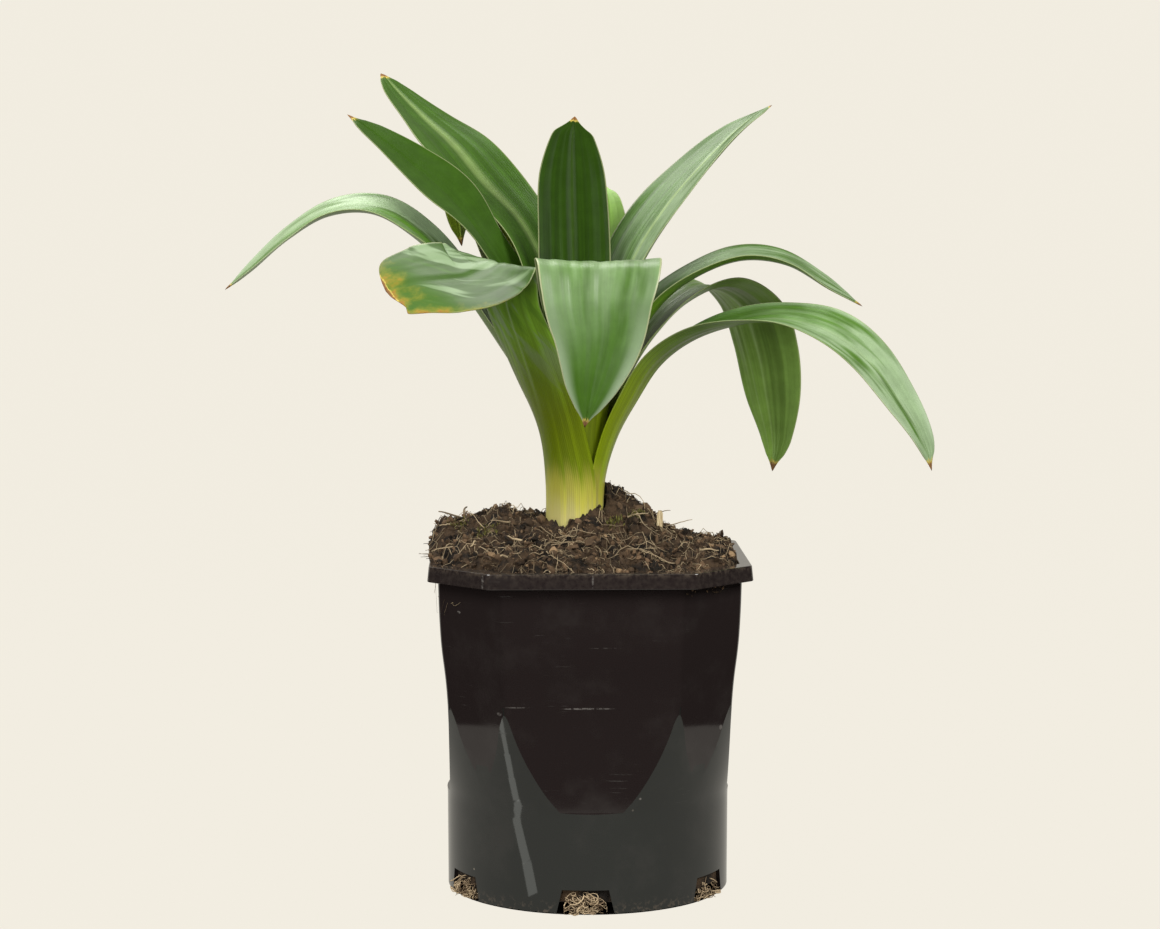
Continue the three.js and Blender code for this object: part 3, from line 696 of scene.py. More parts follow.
def make_soil(settings):
    columns = settings.soil_columns
    turn = full_turn(columns)
    inset = POT_WALL + SOIL_GAP
    cos, sin = np.cos(turn), np.sin(turn)

    def ring(radius, z, middle=(0.0, 0.0)):
        radius = np.broadcast_to(radius, columns)
        return np.column_stack([middle[0] + radius * cos, middle[1] + radius * sin,
                                np.broadcast_to(z, columns)])

    edge = wall_distance(turn, 172.0, inset) - 0.3
    spill = spill_at(turn)
    low_edge = np.minimum(176.2, soil_height(edge * cos, edge * sin) - 1.5)
    low_edge = low_edge * (1 - spill) + 176.2 * spill
    edge = wall_distance(turn, low_edge, inset)
    over = edge + 7.5 * spill * smoothstep(low_edge, 175.4, 176.1)
    rows = [ring(0, inset), ring(STAND_RADIUS - SOIL_GAP, inset),
            ring(STAND_RADIUS + FLOOR_SLOPE - SOIL_GAP, FLOOR_RISE + inset),
            ring(POT_BELL[0][0] - inset, FLOOR_RISE + inset)]
    for z in (20, 49, 53, 60, 75, 98, 116, 134):
        rows.append(ring(wall_distance(turn, z, inset), z))
    for share in (0.35, 0.7, 1.0):
        z = 134 + (low_edge - 134) * share
        rows.append(ring(wall_distance(turn, z, inset), z))
    lip = low_edge + 0.7
    rows.append(ring(over, np.maximum(lip, 176.9) * spill + lip * (1 - spill)))
    inner = np.column_stack([NECK[0] + NECK_HOLE * cos, NECK[1] + NECK_HOLE * sin])
    outer = np.column_stack([over * cos, over * sin])
    steps = settings.soil_rows
    for k in range(steps + 1):
        share = k / steps
        place = outer * (1 - share) + inner * share
        z = crumbled(place[:, 0], place[:, 1])
        rows.append(np.column_stack([place, np.maximum(z, low_edge + 1.0) if k == 0 else z]))
    rows += [ring(radius, z, NECK)
             for radius, z in ((NECK_HOLE, 170), (NECK_HOLE, BULB_TOP), *BULB_HOLE)]
    return grid_piece("soil_mound", rows, closed=True, angle=55)


def surface_spots(random, count):
    """Seeded places on the soil, with more of them on the left over the rim."""
    spots = []
    while len(spots) < count:
        turn = random.uniform(0, 2 * math.pi)
        edge = float(wall_distance(np.array([turn]), 176.0, 2.5)[0])
        distance = (edge + 8 * float(spill_at(turn))) * math.sqrt(random.uniform(0, 1))
        x, y = distance * math.cos(turn), distance * math.sin(turn)
        if math.hypot(x - NECK[0], y - NECK[1]) > 16.8:
            spots.append((x, y))
    return np.array(spots)


def above_rim(spots, heights):
    """Heights raised on to the rim where the heap spills over it."""
    turn = np.arctan2(spots[:, 1], spots[:, 0])
    over = np.hypot(spots[:, 0], spots[:, 1]) > wall_distance(turn, 176.0, 1.2)
    return np.where(over, np.maximum(heights, 177.3), heights)


def make_crumbs(settings):
    """Crumbs of peat: one rough lump, copied with its own size, turn and tone."""
    nothing_selected()
    bpy.ops.mesh.primitive_ico_sphere_add(subdivisions=1, radius=1.0)
    pattern = bpy.context.object
    shape = np.empty(len(pattern.data.vertices) * 3)
    pattern.data.vertices.foreach_get("co", shape)
    shape = shape.reshape(-1, 3)
    faces = np.array([list(face.vertices) for face in pattern.data.polygons])
    bpy.data.objects.remove(pattern, do_unlink=True)
    random = np.random.default_rng(17)
    count = settings.crumb_count
    spots = surface_spots(random, count)
    heights = above_rim(spots, crumbled(spots[:, 0], spots[:, 1]))
    sizes = 0.4 + 2.5 * random.random(count) ** 5
    # A few crumbs cling under the rim at the right.
    few = 26
    stuck = np.radians(random.uniform(-58, -36, few))
    spots[:few] = (wall_distance(stuck, 166.0, -0.2)[:, None]
                   * np.column_stack([np.cos(stuck), np.sin(stuck)]))
    heights[:few] = random.uniform(163, 168, few)
    sizes[:few] = random.uniform(0.4, 0.9, few)
    points, tones, all_faces = [], [], []
    for k in range(count):
        turn = random.normal(size=(3, 3))
        turn = np.linalg.qr(turn)[0]
        stretch = np.array([1.0, 0.75, 0.55]) * (1 + 0.3 * random.normal(size=3))
        lump = (shape * (1 + 0.18 * random.normal(size=(len(shape), 1)))) * stretch * sizes[k]
        lump = lump @ turn.T + np.array([spots[k, 0], spots[k, 1], heights[k] + 0.25 * sizes[k]])
        points.append(lump)
        tones.append(np.full(len(shape), random.random() ** 1.4))
        all_faces.append(faces + k * len(shape))
    piece = raw_piece("soil_crumbs", np.concatenate(points), np.concatenate(all_faces).tolist(),
                      np.concatenate(tones))
    smooth(piece, 40)
    return piece


def make_fibres(settings):
    """Thin pale and dark fibres of coir lying over and sticking out of the soil."""
    random = np.random.default_rng(23)
    count = settings.fibre_count
    spots = surface_spots(random, count)
    paths, radii, tones = [], [], []
    for k in range(count):
        heading = random.uniform(0, 2 * math.pi)
        long = k % 25 == 0
        length = random.uniform(16, 30) if long else random.uniform(3, 12)
        curl = random.normal() * 0.09
        arch = random.uniform(1.5, 5) if long else random.uniform(0.2, 2.4)
        steps = 7
        x, y = spots[k]
        path = []
        for s in range(steps):
            path.append((x, y))
            heading += curl * length / steps + random.normal() * 0.16
            x += math.cos(heading) * length / (steps - 1)
            y += math.sin(heading) * length / (steps - 1)
        path = np.array(path)
        turn = np.arctan2(path[:, 1], path[:, 0])
        limit = wall_distance(turn, 176.0, 2.4)
        reach = np.hypot(path[:, 0], path[:, 1])
        path *= np.minimum(1.0, (limit + 13 * spill_at(turn)) / reach)[:, None]
        away = np.hypot(path[:, 0] - NECK[0], path[:, 1] - NECK[1])
        if away.min() < 17.2:
            continue
        z = crumbled(path[:, 0], path[:, 1])
        z = np.maximum(z, z.mean() - 1.5)
        share = np.linspace(0, 1, steps)
        z = z + arch * np.sin(np.pi * np.minimum(share * 1.1, 1)) + 0.2
        z[0] -= 0.8
        outside = np.hypot(path[:, 0], path[:, 1]) > limit + 6
        z[outside] = np.maximum(z[outside], 178.0)
        paths.append(np.column_stack([path, z]))
        thick = random.uniform(0.2, 0.32) if long else random.uniform(0.1, 0.34)
        radii.append(thick * (1 - 0.6 * share))
        tones.append(random.uniform(0.75, 1.0) if long else random.random() ** 1.7)
    return many_tubes("soil_fibres", paths, radii, tones, sides=3)


def make_twigs(settings):
    """Stiffer bits of stem and bark, mostly along the left of the rim and by the neck."""
    random = np.random.default_rng(31)
    paths, radii, tones = [], [], []
    for k in range(settings.twig_count):
        turn = math.pi + random.normal() * 0.45 if k % 2 else random.uniform(0, 2 * math.pi)
        start = random.uniform(58, 76) if k % 2 else random.uniform(22, 70)
        x, y = start * math.cos(turn), start * math.sin(turn)
        heading = turn + random.normal() * 0.7
        length = random.uniform(7, 19)
        rise = random.uniform(-0.1, 0.45)
        z = float(crumbled(np.array([x]), np.array([y]))[0])
        steps = 8
        path = []
        for s in range(steps):
            path.append((x, y, z))
            heading += random.normal() * 0.14
            x += math.cos(heading) * length / steps
            y += math.sin(heading) * length / steps
            z += rise * length / steps + random.normal() * 0.2
            rise -= 0.05
        path = np.array(path)
        reach = np.hypot(path[:, 0], path[:, 1])
        path[:, :2] *= np.minimum(1.0, 92 / reach)[:, None]
        ground = crumbled(path[:, 0], path[:, 1])
        on_rim = np.hypot(path[:, 0], path[:, 1]) > 74
        path[:, 2] = np.maximum(path[:, 2], np.where(on_rim, 178, ground + 0.3))
        if np.hypot(path[:, 0] - NECK[0], path[:, 1] - NECK[1]).min() < 18:
            continue
        paths.append(path)
        radii.append(random.uniform(0.35, 0.8) * np.linspace(1, 0.45, steps))
        tones.append(random.random())
    return many_tubes("soil_twigs", paths, radii, tones, sides=6)


def make_moss(settings):
    """Small tufts of moss: short leaflets round seeded spots on the soil."""
    random = np.random.default_rng(41)
    points, faces, tones = [], [], []
    for x0, y0, spread in MOSS_TUFTS:
        for _ in range(settings.moss_leaves):
            x, y = x0 + random.normal() * spread * 0.5, y0 + random.normal() * spread * 0.5
            z = float(crumbled(np.array([x]), np.array([y]))[0])
            turn = random.uniform(0, 2 * math.pi)
            lean = random.uniform(0.2, 1.2)
            length = random.uniform(1.2, 2.6)
            cos, sin = math.cos(turn), math.sin(turn)
            out = np.array([cos * math.sin(lean), sin * math.sin(lean), math.cos(lean)])
            side = np.array([-sin, cos, 0]) * 0.22
            root = np.array([x, y, z + random.uniform(-0.2, 1.6)])
            start = len(points)
            points += [root - side * 0.6, root + side * 0.6, root + out * length * 0.5 + side,
                       root + out * length * 0.5 - side, root + out * length]
            faces += [[start, start + 1, start + 2, start + 3], [start + 3, start + 2, start + 4]]
            tones += [random.random()] * 5
    return raw_piece("soil_moss", np.array(points), faces, np.array(tones))


def make_chip():
    """The pale chip of wood that stands in the soil, split and worn."""
    width, thick, length = CHIP_SIZE
    rows = []
    for k in range(41):
        share = k / 40
        z = (share - 0.5) * length
        narrow = 1 - 0.28 * float(smoothstep(share, 0.45, 0.55))
        ragged = 1 if share < 0.97 else 0.55
        ring = []
        for x, y in squarish_ring(28, width / 2 * narrow * ragged, thick / 2, 0.45):
            grain = 0.16 * noise.noise(Vector((x * 2.5, y * 2.5, z * 0.12)))
            rag = 1.3 * noise.noise(Vector((x * 1.4, 3.3, 0.7))) if share > 0.9 else 0
            ring.append((x + grain, y + grain * 0.6, z + rag))
        rows.append(ring)
    piece = grid_piece("bark_sliver", rows, closed=True, capped=True, angle=50)
    for degrees, axis in ((-6, "X"), (3, "Y"), (14, "Z")):
        turned(piece, degrees, axis)
    in_edit(piece, lambda: bpy.ops.transform.translate(value=[c * MM for c in CHIP_PLACE]))
    return piece


# Roots.

def make_roots(node, azimuth, count, seed):
    """Curled roots that crowd out of a drainage notch, over a felt behind them that is painted dark
    as the shade in the notch.
    """
    random = np.random.default_rng(seed)
    out, across = outward(azimuth), outward(azimuth + 90)
    paths, radii, tones = [], [], []
    for k in range(count):
        low = k % 4 == 0
        side = float(np.clip(random.normal() * 4.4, -10, 10))
        z = random.uniform(0.6, 2.5) if low else random.uniform(4, 11)
        distance = random.uniform(70, 75)
        swing, curl = random.uniform(1.2, 4.2), random.uniform(0.35, 0.8)
        phase, rise = random.uniform(0, 2 * math.pi), random.uniform(0, 2 * math.pi)
        drift = random.normal() * 0.3
        steps = 18
        share = np.linspace(0, 1, steps)
        run = curl * np.arange(steps)
        x = side + drift * run * 2 + swing * (np.sin(run + phase) - math.sin(phase)) * 0.8
        up = z - (0.0 if low else 4.5) * share ** 1.3 + 0.45 * swing * (
            np.cos(run * 1.2 + rise) - math.cos(rise)) * (0.3 if low else 1.0)
        depth = distance + 1.6 * np.sin(run * 0.8 + rise) + random.uniform(0, 2.4) * share
        x = np.clip(x, -10.9, 10.9)
        up = np.clip(up, 0.5, 11.6)
        depth = np.clip(depth, 66, 77.4)
        paths.append(out * depth[:, None] + across * x[:, None]
                     + np.column_stack([np.zeros((steps, 2)), up]))
        radii.append(random.uniform(0.18, 0.42) * np.linspace(1, 0.45, steps))
        tones.append(random.uniform(0.1, 1.0))
    tangle = many_tubes(node + "_tangle", paths, radii, tones, sides=6)
    rows = []
    for k in range(7):
        distance = 63.5 + 5.5 * k / 6
        half, low, high = 9.6 - k / 6, 4.2, 10.4
        ring = []
        for x, y in squarish_ring(48, half, (high - low) / 2, 0.5):
            point = out * distance + across * x + np.array([0, 0, (high + low) / 2 + y])
            ring.append(point + out * 0.9 * noise.noise(Vector((x, y, distance)) * 0.9))
        rows.append(ring)
    felt = grid_piece("felt", rows, closed=True, capped=True)
    set_marks(felt.data, {"tone": np.full(len(felt.data.vertices), -1.0)})
    nothing_selected()
    felt.select_set(True)
    tangle.select_set(True)
    bpy.context.view_layer.objects.active = tangle
    bpy.ops.object.join()
    return tangle


# Materials.

def put(tree, socket, value):
    """Links a socket or sets a plain value."""
    if isinstance(value, bpy.types.NodeSocket):
        tree.links.new(value, socket)
    elif value is not None:
        if socket.type == "RGBA" and len(value) == 3:
            value = (*value, 1.0)
        socket.default_value = value


def maths(tree, operation, a, b=None, c=None, clamp=False):
    node = tree.nodes.new("ShaderNodeMath")
    node.operation = operation
    node.use_clamp = clamp
    for socket, value in zip(node.inputs, (a, b, c)):
        put(tree, socket, value)
    return node.outputs[0]


def times(tree, a, b):
    return maths(tree, "MULTIPLY", a, b)


def linear(tree, value, factor, offset):
    return maths(tree, "MULTIPLY_ADD", value, factor, offset)


def parts(tree, vector):
    """The x, y and z of a vector."""
    node = tree.nodes.new("ShaderNodeSeparateXYZ")
    put(tree, node.inputs[0], vector)
    return node.outputs[0], node.outputs[1], node.outputs[2]


def fade(tree, value, low, high, start=0.0, end=1.0):
    """Smooth change from start to end as a value goes from low to high."""
    node = tree.nodes.new("ShaderNodeMapRange")
    node.interpolation_type = "SMOOTHSTEP"
    for name, part in (("Value", value), ("From Min", low), ("From Max", high),
                       ("To Min", start), ("To Max", end)):
        put(tree, node.inputs[name], part)
    return node.outputs["Result"]


def blend(tree, share, a, b, way="MIX"):
    node = tree.nodes.new("ShaderNodeMix")
    node.data_type = "RGBA"
    node.blend_type = way
    put(tree, node.inputs[0], share)
    put(tree, node.inputs[6], a)
    put(tree, node.inputs[7], b)
    return node.outputs[2]


def tint(tree, colour, value):
    """The colour made darker or lighter by a value."""
    grey = tree.nodes.new("ShaderNodeCombineColor")
    for socket in grey.inputs[:3]:
        put(tree, socket, value)
    return blend(tree, 1.0, colour, grey.outputs[0], "MULTIPLY")


def cloud(tree, place, scale, detail=3.0, roughness=0.5, stretch=None):
    """Noise value on a coordinate, drawn out along an axis by stretch."""
    if stretch:
        mapping = tree.nodes.new("ShaderNodeMapping")
        put(tree, mapping.inputs["Vector"], place)
        mapping.inputs["Scale"].default_value = stretch
        place = mapping.outputs[0]
    node = tree.nodes.new("ShaderNodeTexNoise")
    put(tree, node.inputs["Vector"], place)
    node.inputs["Scale"].default_value = scale
    node.inputs["Detail"].default_value = detail
    node.inputs["Roughness"].default_value = roughness
    return node.outputs["Fac"]


def attribute(tree, name):
    node = tree.nodes.new("ShaderNodeAttribute")
    node.attribute_name = name
    return node.outputs["Fac"]


def object_place(tree):
    return tree.nodes.new("ShaderNodeTexCoord").outputs["Object"]


def finish_with(name, **settings):
    """New material with its Principled shader set, returned with its node tree."""
    material = bpy.data.materials.new(name)
    material.use_nodes = True
    shader = material.node_tree.nodes["Principled BSDF"]
    for socket, value in settings.items():
        put(material.node_tree, shader.inputs[socket.replace("_", " ")], value)
    return material, material.node_tree, shader


def link_finish(tree, shader, colour, rough, height, strength, distance):
    """Links what changes over the surface to the shader, with a bump from the height."""
    put(tree, shader.inputs["Base Color"], colour)
    put(tree, shader.inputs["Roughness"], rough)
    bump_node = tree.nodes.new("ShaderNodeBump")
    put(tree, bump_node.inputs["Height"], height)
    bump_node.inputs["Strength"].default_value = strength
    bump_node.inputs["Distance"].default_value = distance
    put(tree, shader.inputs["Normal"], bump_node.outputs["Normal"])


def shared_group(build):
    """Has a function that builds a node group of its own name build it only once."""
    def group():
        return bpy.data.node_groups.get(build.__name__) or build()
    return group


def new_group(name, vectors, values, results):
    """New node group with vector and value inputs and with values put out."""
    tree = bpy.data.node_groups.new(name, "ShaderNodeTree")
    for labels, way, kind in ((vectors, "INPUT", "Vector"), (values, "INPUT", "Float"),
                              (results, "OUTPUT", "Float")):
        for label in labels:
            tree.interface.new_socket(name=label, in_out=way, socket_type="NodeSocket" + kind)
    start = tree.nodes.new("NodeGroupInput")
    end = tree.nodes.new("NodeGroupOutput")
    return tree, start.outputs, end.inputs


def use_group(tree, group, **values):
    node = tree.nodes.new("ShaderNodeGroup")
    node.node_tree = group
    for label, value in values.items():
        put(tree, node.inputs[label.replace("_", " ")], value)
    return node.outputs


@shared_group
def leaf_tissue():
    """Pattern of a strap leaf: parallel veins, broad streaks, midrib, margin and dead tip."""
    tree, start, end = new_group(
        "leaf_tissue", ("Pattern Place", "Object Place"),
        ("Veins", "Tip Length", "Rib Width", "Offset"),
        ("Vein", "Streak", "Midrib", "Margin", "Tip", "Mottle", "Bloom"))
    across, to_tip, _ = parts(tree, start["Pattern Place"])
    shifted = tree.nodes.new("ShaderNodeCombineXYZ")
    for socket, value in zip(shifted.inputs, (across, to_tip, start["Offset"])):
        put(tree, socket, value)
    place = shifted.outputs[0]
    wander = cloud(tree, place, 3.0, 2.0, stretch=(3.0, 1.4, 1.0))
    phase = linear(tree, across, start["Veins"], times(tree, wander, 1.3))
    vein = linear(tree, maths(tree, "SINE", times(tree, phase, 2 * math.pi)), 0.5, 0.5)
    vein = maths(tree, "SUBTRACT", maths(tree, "POWER", vein, 2.2), 0.4)
    put(tree, end["Vein"], linear(tree, vein, fade(tree, to_tip, 0.5, 1.5), 0.4))
    # The streaks run together where the leaf narrows to its tip.
    streak = cloud(tree, place, 1.0, 2.5, 0.6, stretch=(13.0, 0.55, 5.0))
    streak = maths(tree, "SUBTRACT", fade(tree, streak, 0.36, 0.66), 0.5)
    put(tree, end["Streak"], linear(tree, streak, fade(tree, to_tip, 0.15, 0.9, 0.3, 1.0), 0.5))
    beside = maths(tree, "ABSOLUTE", linear(tree, across, 2.0, -1.0))
    rib = maths(tree, "DIVIDE", beside, start["Rib Width"])
    put(tree, end["Midrib"], fade(tree, rib, 0.2, 1.0, 1.0, 0.0))
    put(tree, end["Margin"], fade(tree, beside, 0.968, 0.995))
    ragged = cloud(tree, place, 1.0, 4.0, 0.6, stretch=(9.0, 9.0, 3.0))
    worn = times(tree, start["Tip Length"], linear(tree, ragged, 1.6, 0.15))
    put(tree, end["Tip"], fade(tree, maths(tree, "DIVIDE", to_tip, worn), 0.55, 1.25, 1.0, 0.0))
    put(tree, end["Mottle"], cloud(tree, start["Object Place"], 95.0, 5.0, 0.6))
    bloom = cloud(tree, place, 1.0, 2.5, 0.6, stretch=(4.5, 1.6, 3.0))
    put(tree, end["Bloom"], fade(tree, bloom, 0.35, 0.7))
    return tree


@shared_group
def leaf_scorch():
    """Scorched end of a leaf, deepest at its tip and along one margin."""
    tree, start, end = new_group("leaf_scorch", ("Pattern Place", "Object Place"), ("Length",),
                                 ("Yellow", "Orange", "Brown"))
    across, to_tip, _ = parts(tree, start["Pattern Place"])
    ragged = linear(tree, cloud(tree, start["Object Place"], 110.0, 4.0, 0.6), 1.7, -0.85)
    # Depth from the worn edge, in parts of the length: the tip and the far margin count as edge.
    inward = maths(tree, "DIVIDE", to_tip, start["Length"])
    margin = maths(tree, "SUBTRACT", 1.0, across)
    depth = maths(tree, "MINIMUM", linear(tree, margin, 0.5, inward),
                  linear(tree, margin, 3.4, times(tree, inward, 0.38)))
    depth = maths(tree, "ADD", depth, ragged)
    for label, low, high, most in (("Yellow", 0.1, 0.8, 0.9), ("Orange", 0.0, 0.42, 0.85),
                                   ("Brown", -0.05, 0.24, 0.95)):
        put(tree, end[label], fade(tree, depth, low, high, most, 0.0))
    return tree


# What sets each leaf apart from the common look: veins across; dead tip and scorched end in
# decimetres; waxy bloom; lightness, set leaf by leaf, which holds painted light and shade as well
# as the leaf's own tone; strength and width of the pale midrib; how far the green is turned to
# yellow; contrast of the streaks and depth of the folds; gloss; lightness and wax of the
# underside, raised where an underside shows lit, which is painted light; lightness of the neck;
# how pale the thin margin is, and the pale edge beside it, a painted highlight along both margins.
# wax (from the tip), half and shade (both across) are fades of the bloom or, for shade, of the
# lightness, as (low, high, start, end): wax and half paint a sheen where the blade faces the
# light over its real bloom, and shade is painted shade on the half turned from the light.
COMMON_LOOK = dict(bloom=0.0, light=1.0, rib=0.0, rib_width=0.085, yellow=0.0, under=1.3, pale=0.0,
                   neck=0.95, margin=0.45)
LEAF_LOOKS = {
    "leaf_left_front": dict(veins=44, tip=0.02, bloom=0.2, light=0.55, under=3.0, neck=1.0,
                            stripe=0.5, gloss=0.25, scorch=0.30),
    "leaf_right_low": dict(veins=34, tip=0.06, bloom=2.2, under=1.9, rib=0.1, stripe=0.8,
                           gloss=0.2, wax=(0.6, 1.3, 1.0, 0.15), neck=1.75, edge=0.5),
    "leaf_back_left": dict(veins=24, tip=0.05, bloom=0.2, light=0.8, rib=0.2, yellow=0.5,
                           stripe=0.8, gloss=0.2, under=2.5),
    "leaf_front": dict(veins=40, tip=0.045, bloom=0.7, wax=(0.15, 0.95, 0.0, 0.9), margin=0.8,
                       edge=0.6, stripe=0.8, gloss=0.5),
    "leaf_far_left": dict(veins=28, tip=0.05, bloom=2.4, light=1.1, rib=0.1, stripe=0.7,
                          gloss=0.5, under=2.0, half=(0.3, 0.5, 1.0, 0.15), edge=0.5),
    "leaf_right_back": dict(veins=34, tip=0.06, bloom=0.6, light=1.1, rib=0.1, yellow=0.1,
                            stripe=1.1, gloss=0.25, under=3.6, pale=0.35,
                            shade=(0.44, 0.58, 0.7, 1.3)),
    "leaf_right_arch": dict(veins=30, tip=0.05, bloom=1.7, light=0.8, rib=0.1, stripe=0.8,
                            gloss=0.1, under=1.8),
    "leaf_upper_left": dict(veins=28, tip=0.05, light=0.47, stripe=0.2, gloss=0.08),
    "leaf_left_back": dict(veins=34, tip=0.06, light=0.62, rib=0.4, rib_width=0.2, stripe=0.7,
                           gloss=0.06),
    # Its lightness of 3.2 is painted light, the glow of light shining through this small leaf at
    # the back.
    "leaf_back_right": dict(veins=18, tip=0.03, bloom=0.1, light=3.2, rib=0.1, yellow=0.3,
                            stripe=0.4, gloss=0.4),
    "leaf_upper_right": dict(veins=30, tip=0.035, bloom=1.7, light=0.85, rib=0.5, stripe=0.9,
                             gloss=0.4, half=(0.5, 0.78, 1.0, 0.2)),
    "leaf_back": dict(veins=30, tip=0.03, light=0.32, rib=0.03, stripe=0.9, gloss=0.03),
}


def leaf_finish(node, settings, seed):
    look = {**COMMON_LOOK, **LEAF_LOOKS[node]}
    material, tree, shader = finish_with(
        node.replace("leaf", "tissue"), Specular_IOR_Level=look["gloss"])
    places = tree.nodes.new("ShaderNodeUVMap").outputs[0]
    across, to_tip, _ = parts(tree, places)
    everywhere = object_place(tree)
    pattern = use_group(tree, leaf_tissue(), Pattern_Place=places, Object_Place=everywhere,
                        Veins=look["veins"], Tip_Length=look["tip"],
                        Rib_Width=look["rib_width"], Offset=seed * 3.7)
    # Each leaf's lightness, which holds painted light and shade as well as the leaf's own tone.
    green, bluish = ([c * look["light"] for c in colour]
                     for colour in (settings.blade_green, settings.bloom_green))
    deep = [c * (1 - 0.4 * look["stripe"]) for c in green]
    # wax and half fade the bloom, painting a sheen where the blade faces the light over its real
    # wax.
    wax = times(tree, pattern["Bloom"], look["bloom"])
    for key, place in (("wax", to_tip), ("half", across)):
        if key in look:
            wax = times(tree, wax, fade(tree, place, *look[key]))
    upper = blend(tree, wax, blend(tree, pattern["Streak"], deep, green), bluish)
    # The underside's lightness and wax, raised leaf by leaf: painted light where an underside shows
    # lit.
    below = [c * look["under"] for c in settings.under_green]
    below = [b + (w - b) * look["pale"] for b, w in zip(below, settings.bloom_green)]
    under = blend(tree, pattern["Streak"], [c * 0.7 for c in below], below)
    blade = blend(tree, attribute(tree, "inner_face"), under, upper)
    blade = blend(tree, look["yellow"], blade, settings.aged_yellow)
    blade = blend(tree, times(tree, pattern["Midrib"], look["rib"]), blade, settings.rib_green)
    blade = tint(tree, blade, linear(tree, pattern["Vein"], 0.07, 0.965))
    blade = tint(tree, blade, fade(tree, pattern["Mottle"], 0.3, 0.75, 0.9, 1.12))
    if "edge" in look:
        # A painted highlight: both margins turn white towards the tip, where they catch the light.
        beside = maths(tree, "ABSOLUTE", linear(tree, across, 2.0, -1.0))
        white = times(tree, fade(tree, beside, 0.55, 1.0, 0.0, look["edge"]),
                      fade(tree, to_tip, 0.2, 0.8, 1.0, 0.1))
        blade = blend(tree, white, blade, settings.edge_wax)
    # Painted shade across the blade: one half lighter, the half turned from the light darker.
    if "shade" in look:
        blade = tint(tree, blade, fade(tree, across, *look["shade"]))
    if "scorch" in look:
        # Diagonal creases where the blade was bent, painted pale where they catch the light and
        # darker where they are in shade, and painted shade over its end.
        tilted = tree.nodes.new("ShaderNodeMapping")
        put(tree, tilted.inputs["Vector"], places)
        tilted.inputs["Rotation"].default_value = (0, 0, math.radians(52))
        crease = cloud(tree, tilted.outputs[0], 1.0, 3.0, 0.55, stretch=(6.0, 1.1, 1.0))
        blade = blend(tree, fade(tree, crease, 0.52, 0.60, 0.0, 0.7), blade, settings.bloom_green)
        blade = blend(tree, fade(tree, crease, 0.34, 0.46, 0.5, 0.0), blade, settings.blade_green)
        slanted = linear(tree, across, -0.35, maths(tree, "ADD", to_tip, 0.35))
        painted_shade_end = fade(tree, slanted, 0.24, 0.46, 0.9, 0.0)
        blade = blend(tree, painted_shade_end, blade, [c * 0.7 for c in settings.blade_green])
    # The neck: cream at the soil, then yellow, then yellow-green, then the blade's own green.
    run = attribute(tree, "from_base")
    streaked = linear(tree, pattern["Streak"], 0.10, maths(tree, "SUBTRACT", run, 0.05))
    fresh = [c * look["neck"] for c in settings.neck_green]
    low = blend(tree, fade(tree, streaked, 0.42, 0.60), settings.neck_cream, settings.neck_yellow)
    low = blend(tree, fade(tree, streaked, 0.58, 0.76), low, fresh)
    low = tint(tree, low, fade(tree, pattern["Streak"], 0.0, 1.0, 0.82, 1.15))
    low = blend(tree, fade(tree, streaked, 0.95, 1.7), low, blade)
    low = tint(tree, low, linear(tree, pattern["Vein"], 0.10, 0.95))
    margin = times(tree, pattern["Margin"], fade(tree, run, 0.9, 1.5, 0.0, look["margin"]))
    low = blend(tree, margin, low, settings.margin_pale)
    if "scorch" in look:
        # The damaged end: yellow, then orange and a brown rim towards the margin.
        worn = use_group(tree, leaf_scorch(), Pattern_Place=places, Object_Place=everywhere,
                         Length=look["scorch"])
        low = blend(tree, worn["Yellow"], low, settings.scorch_yellow)
        low = blend(tree, worn["Orange"], low, settings.scorch_orange)
        low = blend(tree, worn["Brown"], low, settings.tip_brown)
    # The dead tip: yellow round it, then brown.
    dead = fade(tree, pattern["Tip"], 0.45, 0.95)
    low = blend(tree, fade(tree, pattern["Tip"], 0.0, 0.5), low, settings.tip_gold)
    low = blend(tree, dead, low, settings.tip_brown)
    rough = linear(tree, pattern["Bloom"], 0.12, settings.blade_roughness)
    rough = linear(tree, dead, 0.3, rough)
    if "scorch" in look:
        rough = linear(tree, painted_shade_end, 0.6, rough)
    height = linear(tree, pattern["Vein"], 0.9, times(tree, pattern["Bloom"], 0.3))
    link_finish(tree, shader, low, rough, height, 0.35, 0.00025)
    return material


@shared_group
def plastic_wear():
    """Handling wear of moulded plastic: fine scratches, dust and rubbed patches."""
    tree, start, end = new_group("plastic_wear", ("Place",), (),
                                 ("Scratch", "Dust", "Speck", "Ripple"))
    place = start["Place"]
    scratch = cloud(tree, place, 1.0, 3.0, 0.7, stretch=(60.0, 60.0, 900.0))
    patch = cloud(tree, place, 45.0, 3.0, 0.6)
    put(tree, end["Scratch"],
        times(tree, fade(tree, scratch, 0.62, 0.72), fade(tree, patch, 0.5, 0.68)))
    put(tree, end["Dust"], fade(tree, cloud(tree, place, 28.0, 6.0, 0.65), 0.48, 0.72))
    dots = tree.nodes.new("ShaderNodeTexVoronoi")
    put(tree, dots.inputs["Vector"], place)
    dots.inputs["Scale"].default_value = 85.0
    near = fade(tree, dots.outputs["Distance"], 0.035, 0.06, 1.0, 0.0)
    rare = tree.nodes.new("ShaderNodeSeparateColor")
    put(tree, rare.inputs[0], dots.outputs["Color"])
    put(tree, end["Speck"], times(tree, near, fade(tree, rare.outputs[0], 0.93, 0.95)))
    put(tree, end["Ripple"], cloud(tree, place, 22.0, 2.0, 0.5))
    return tree


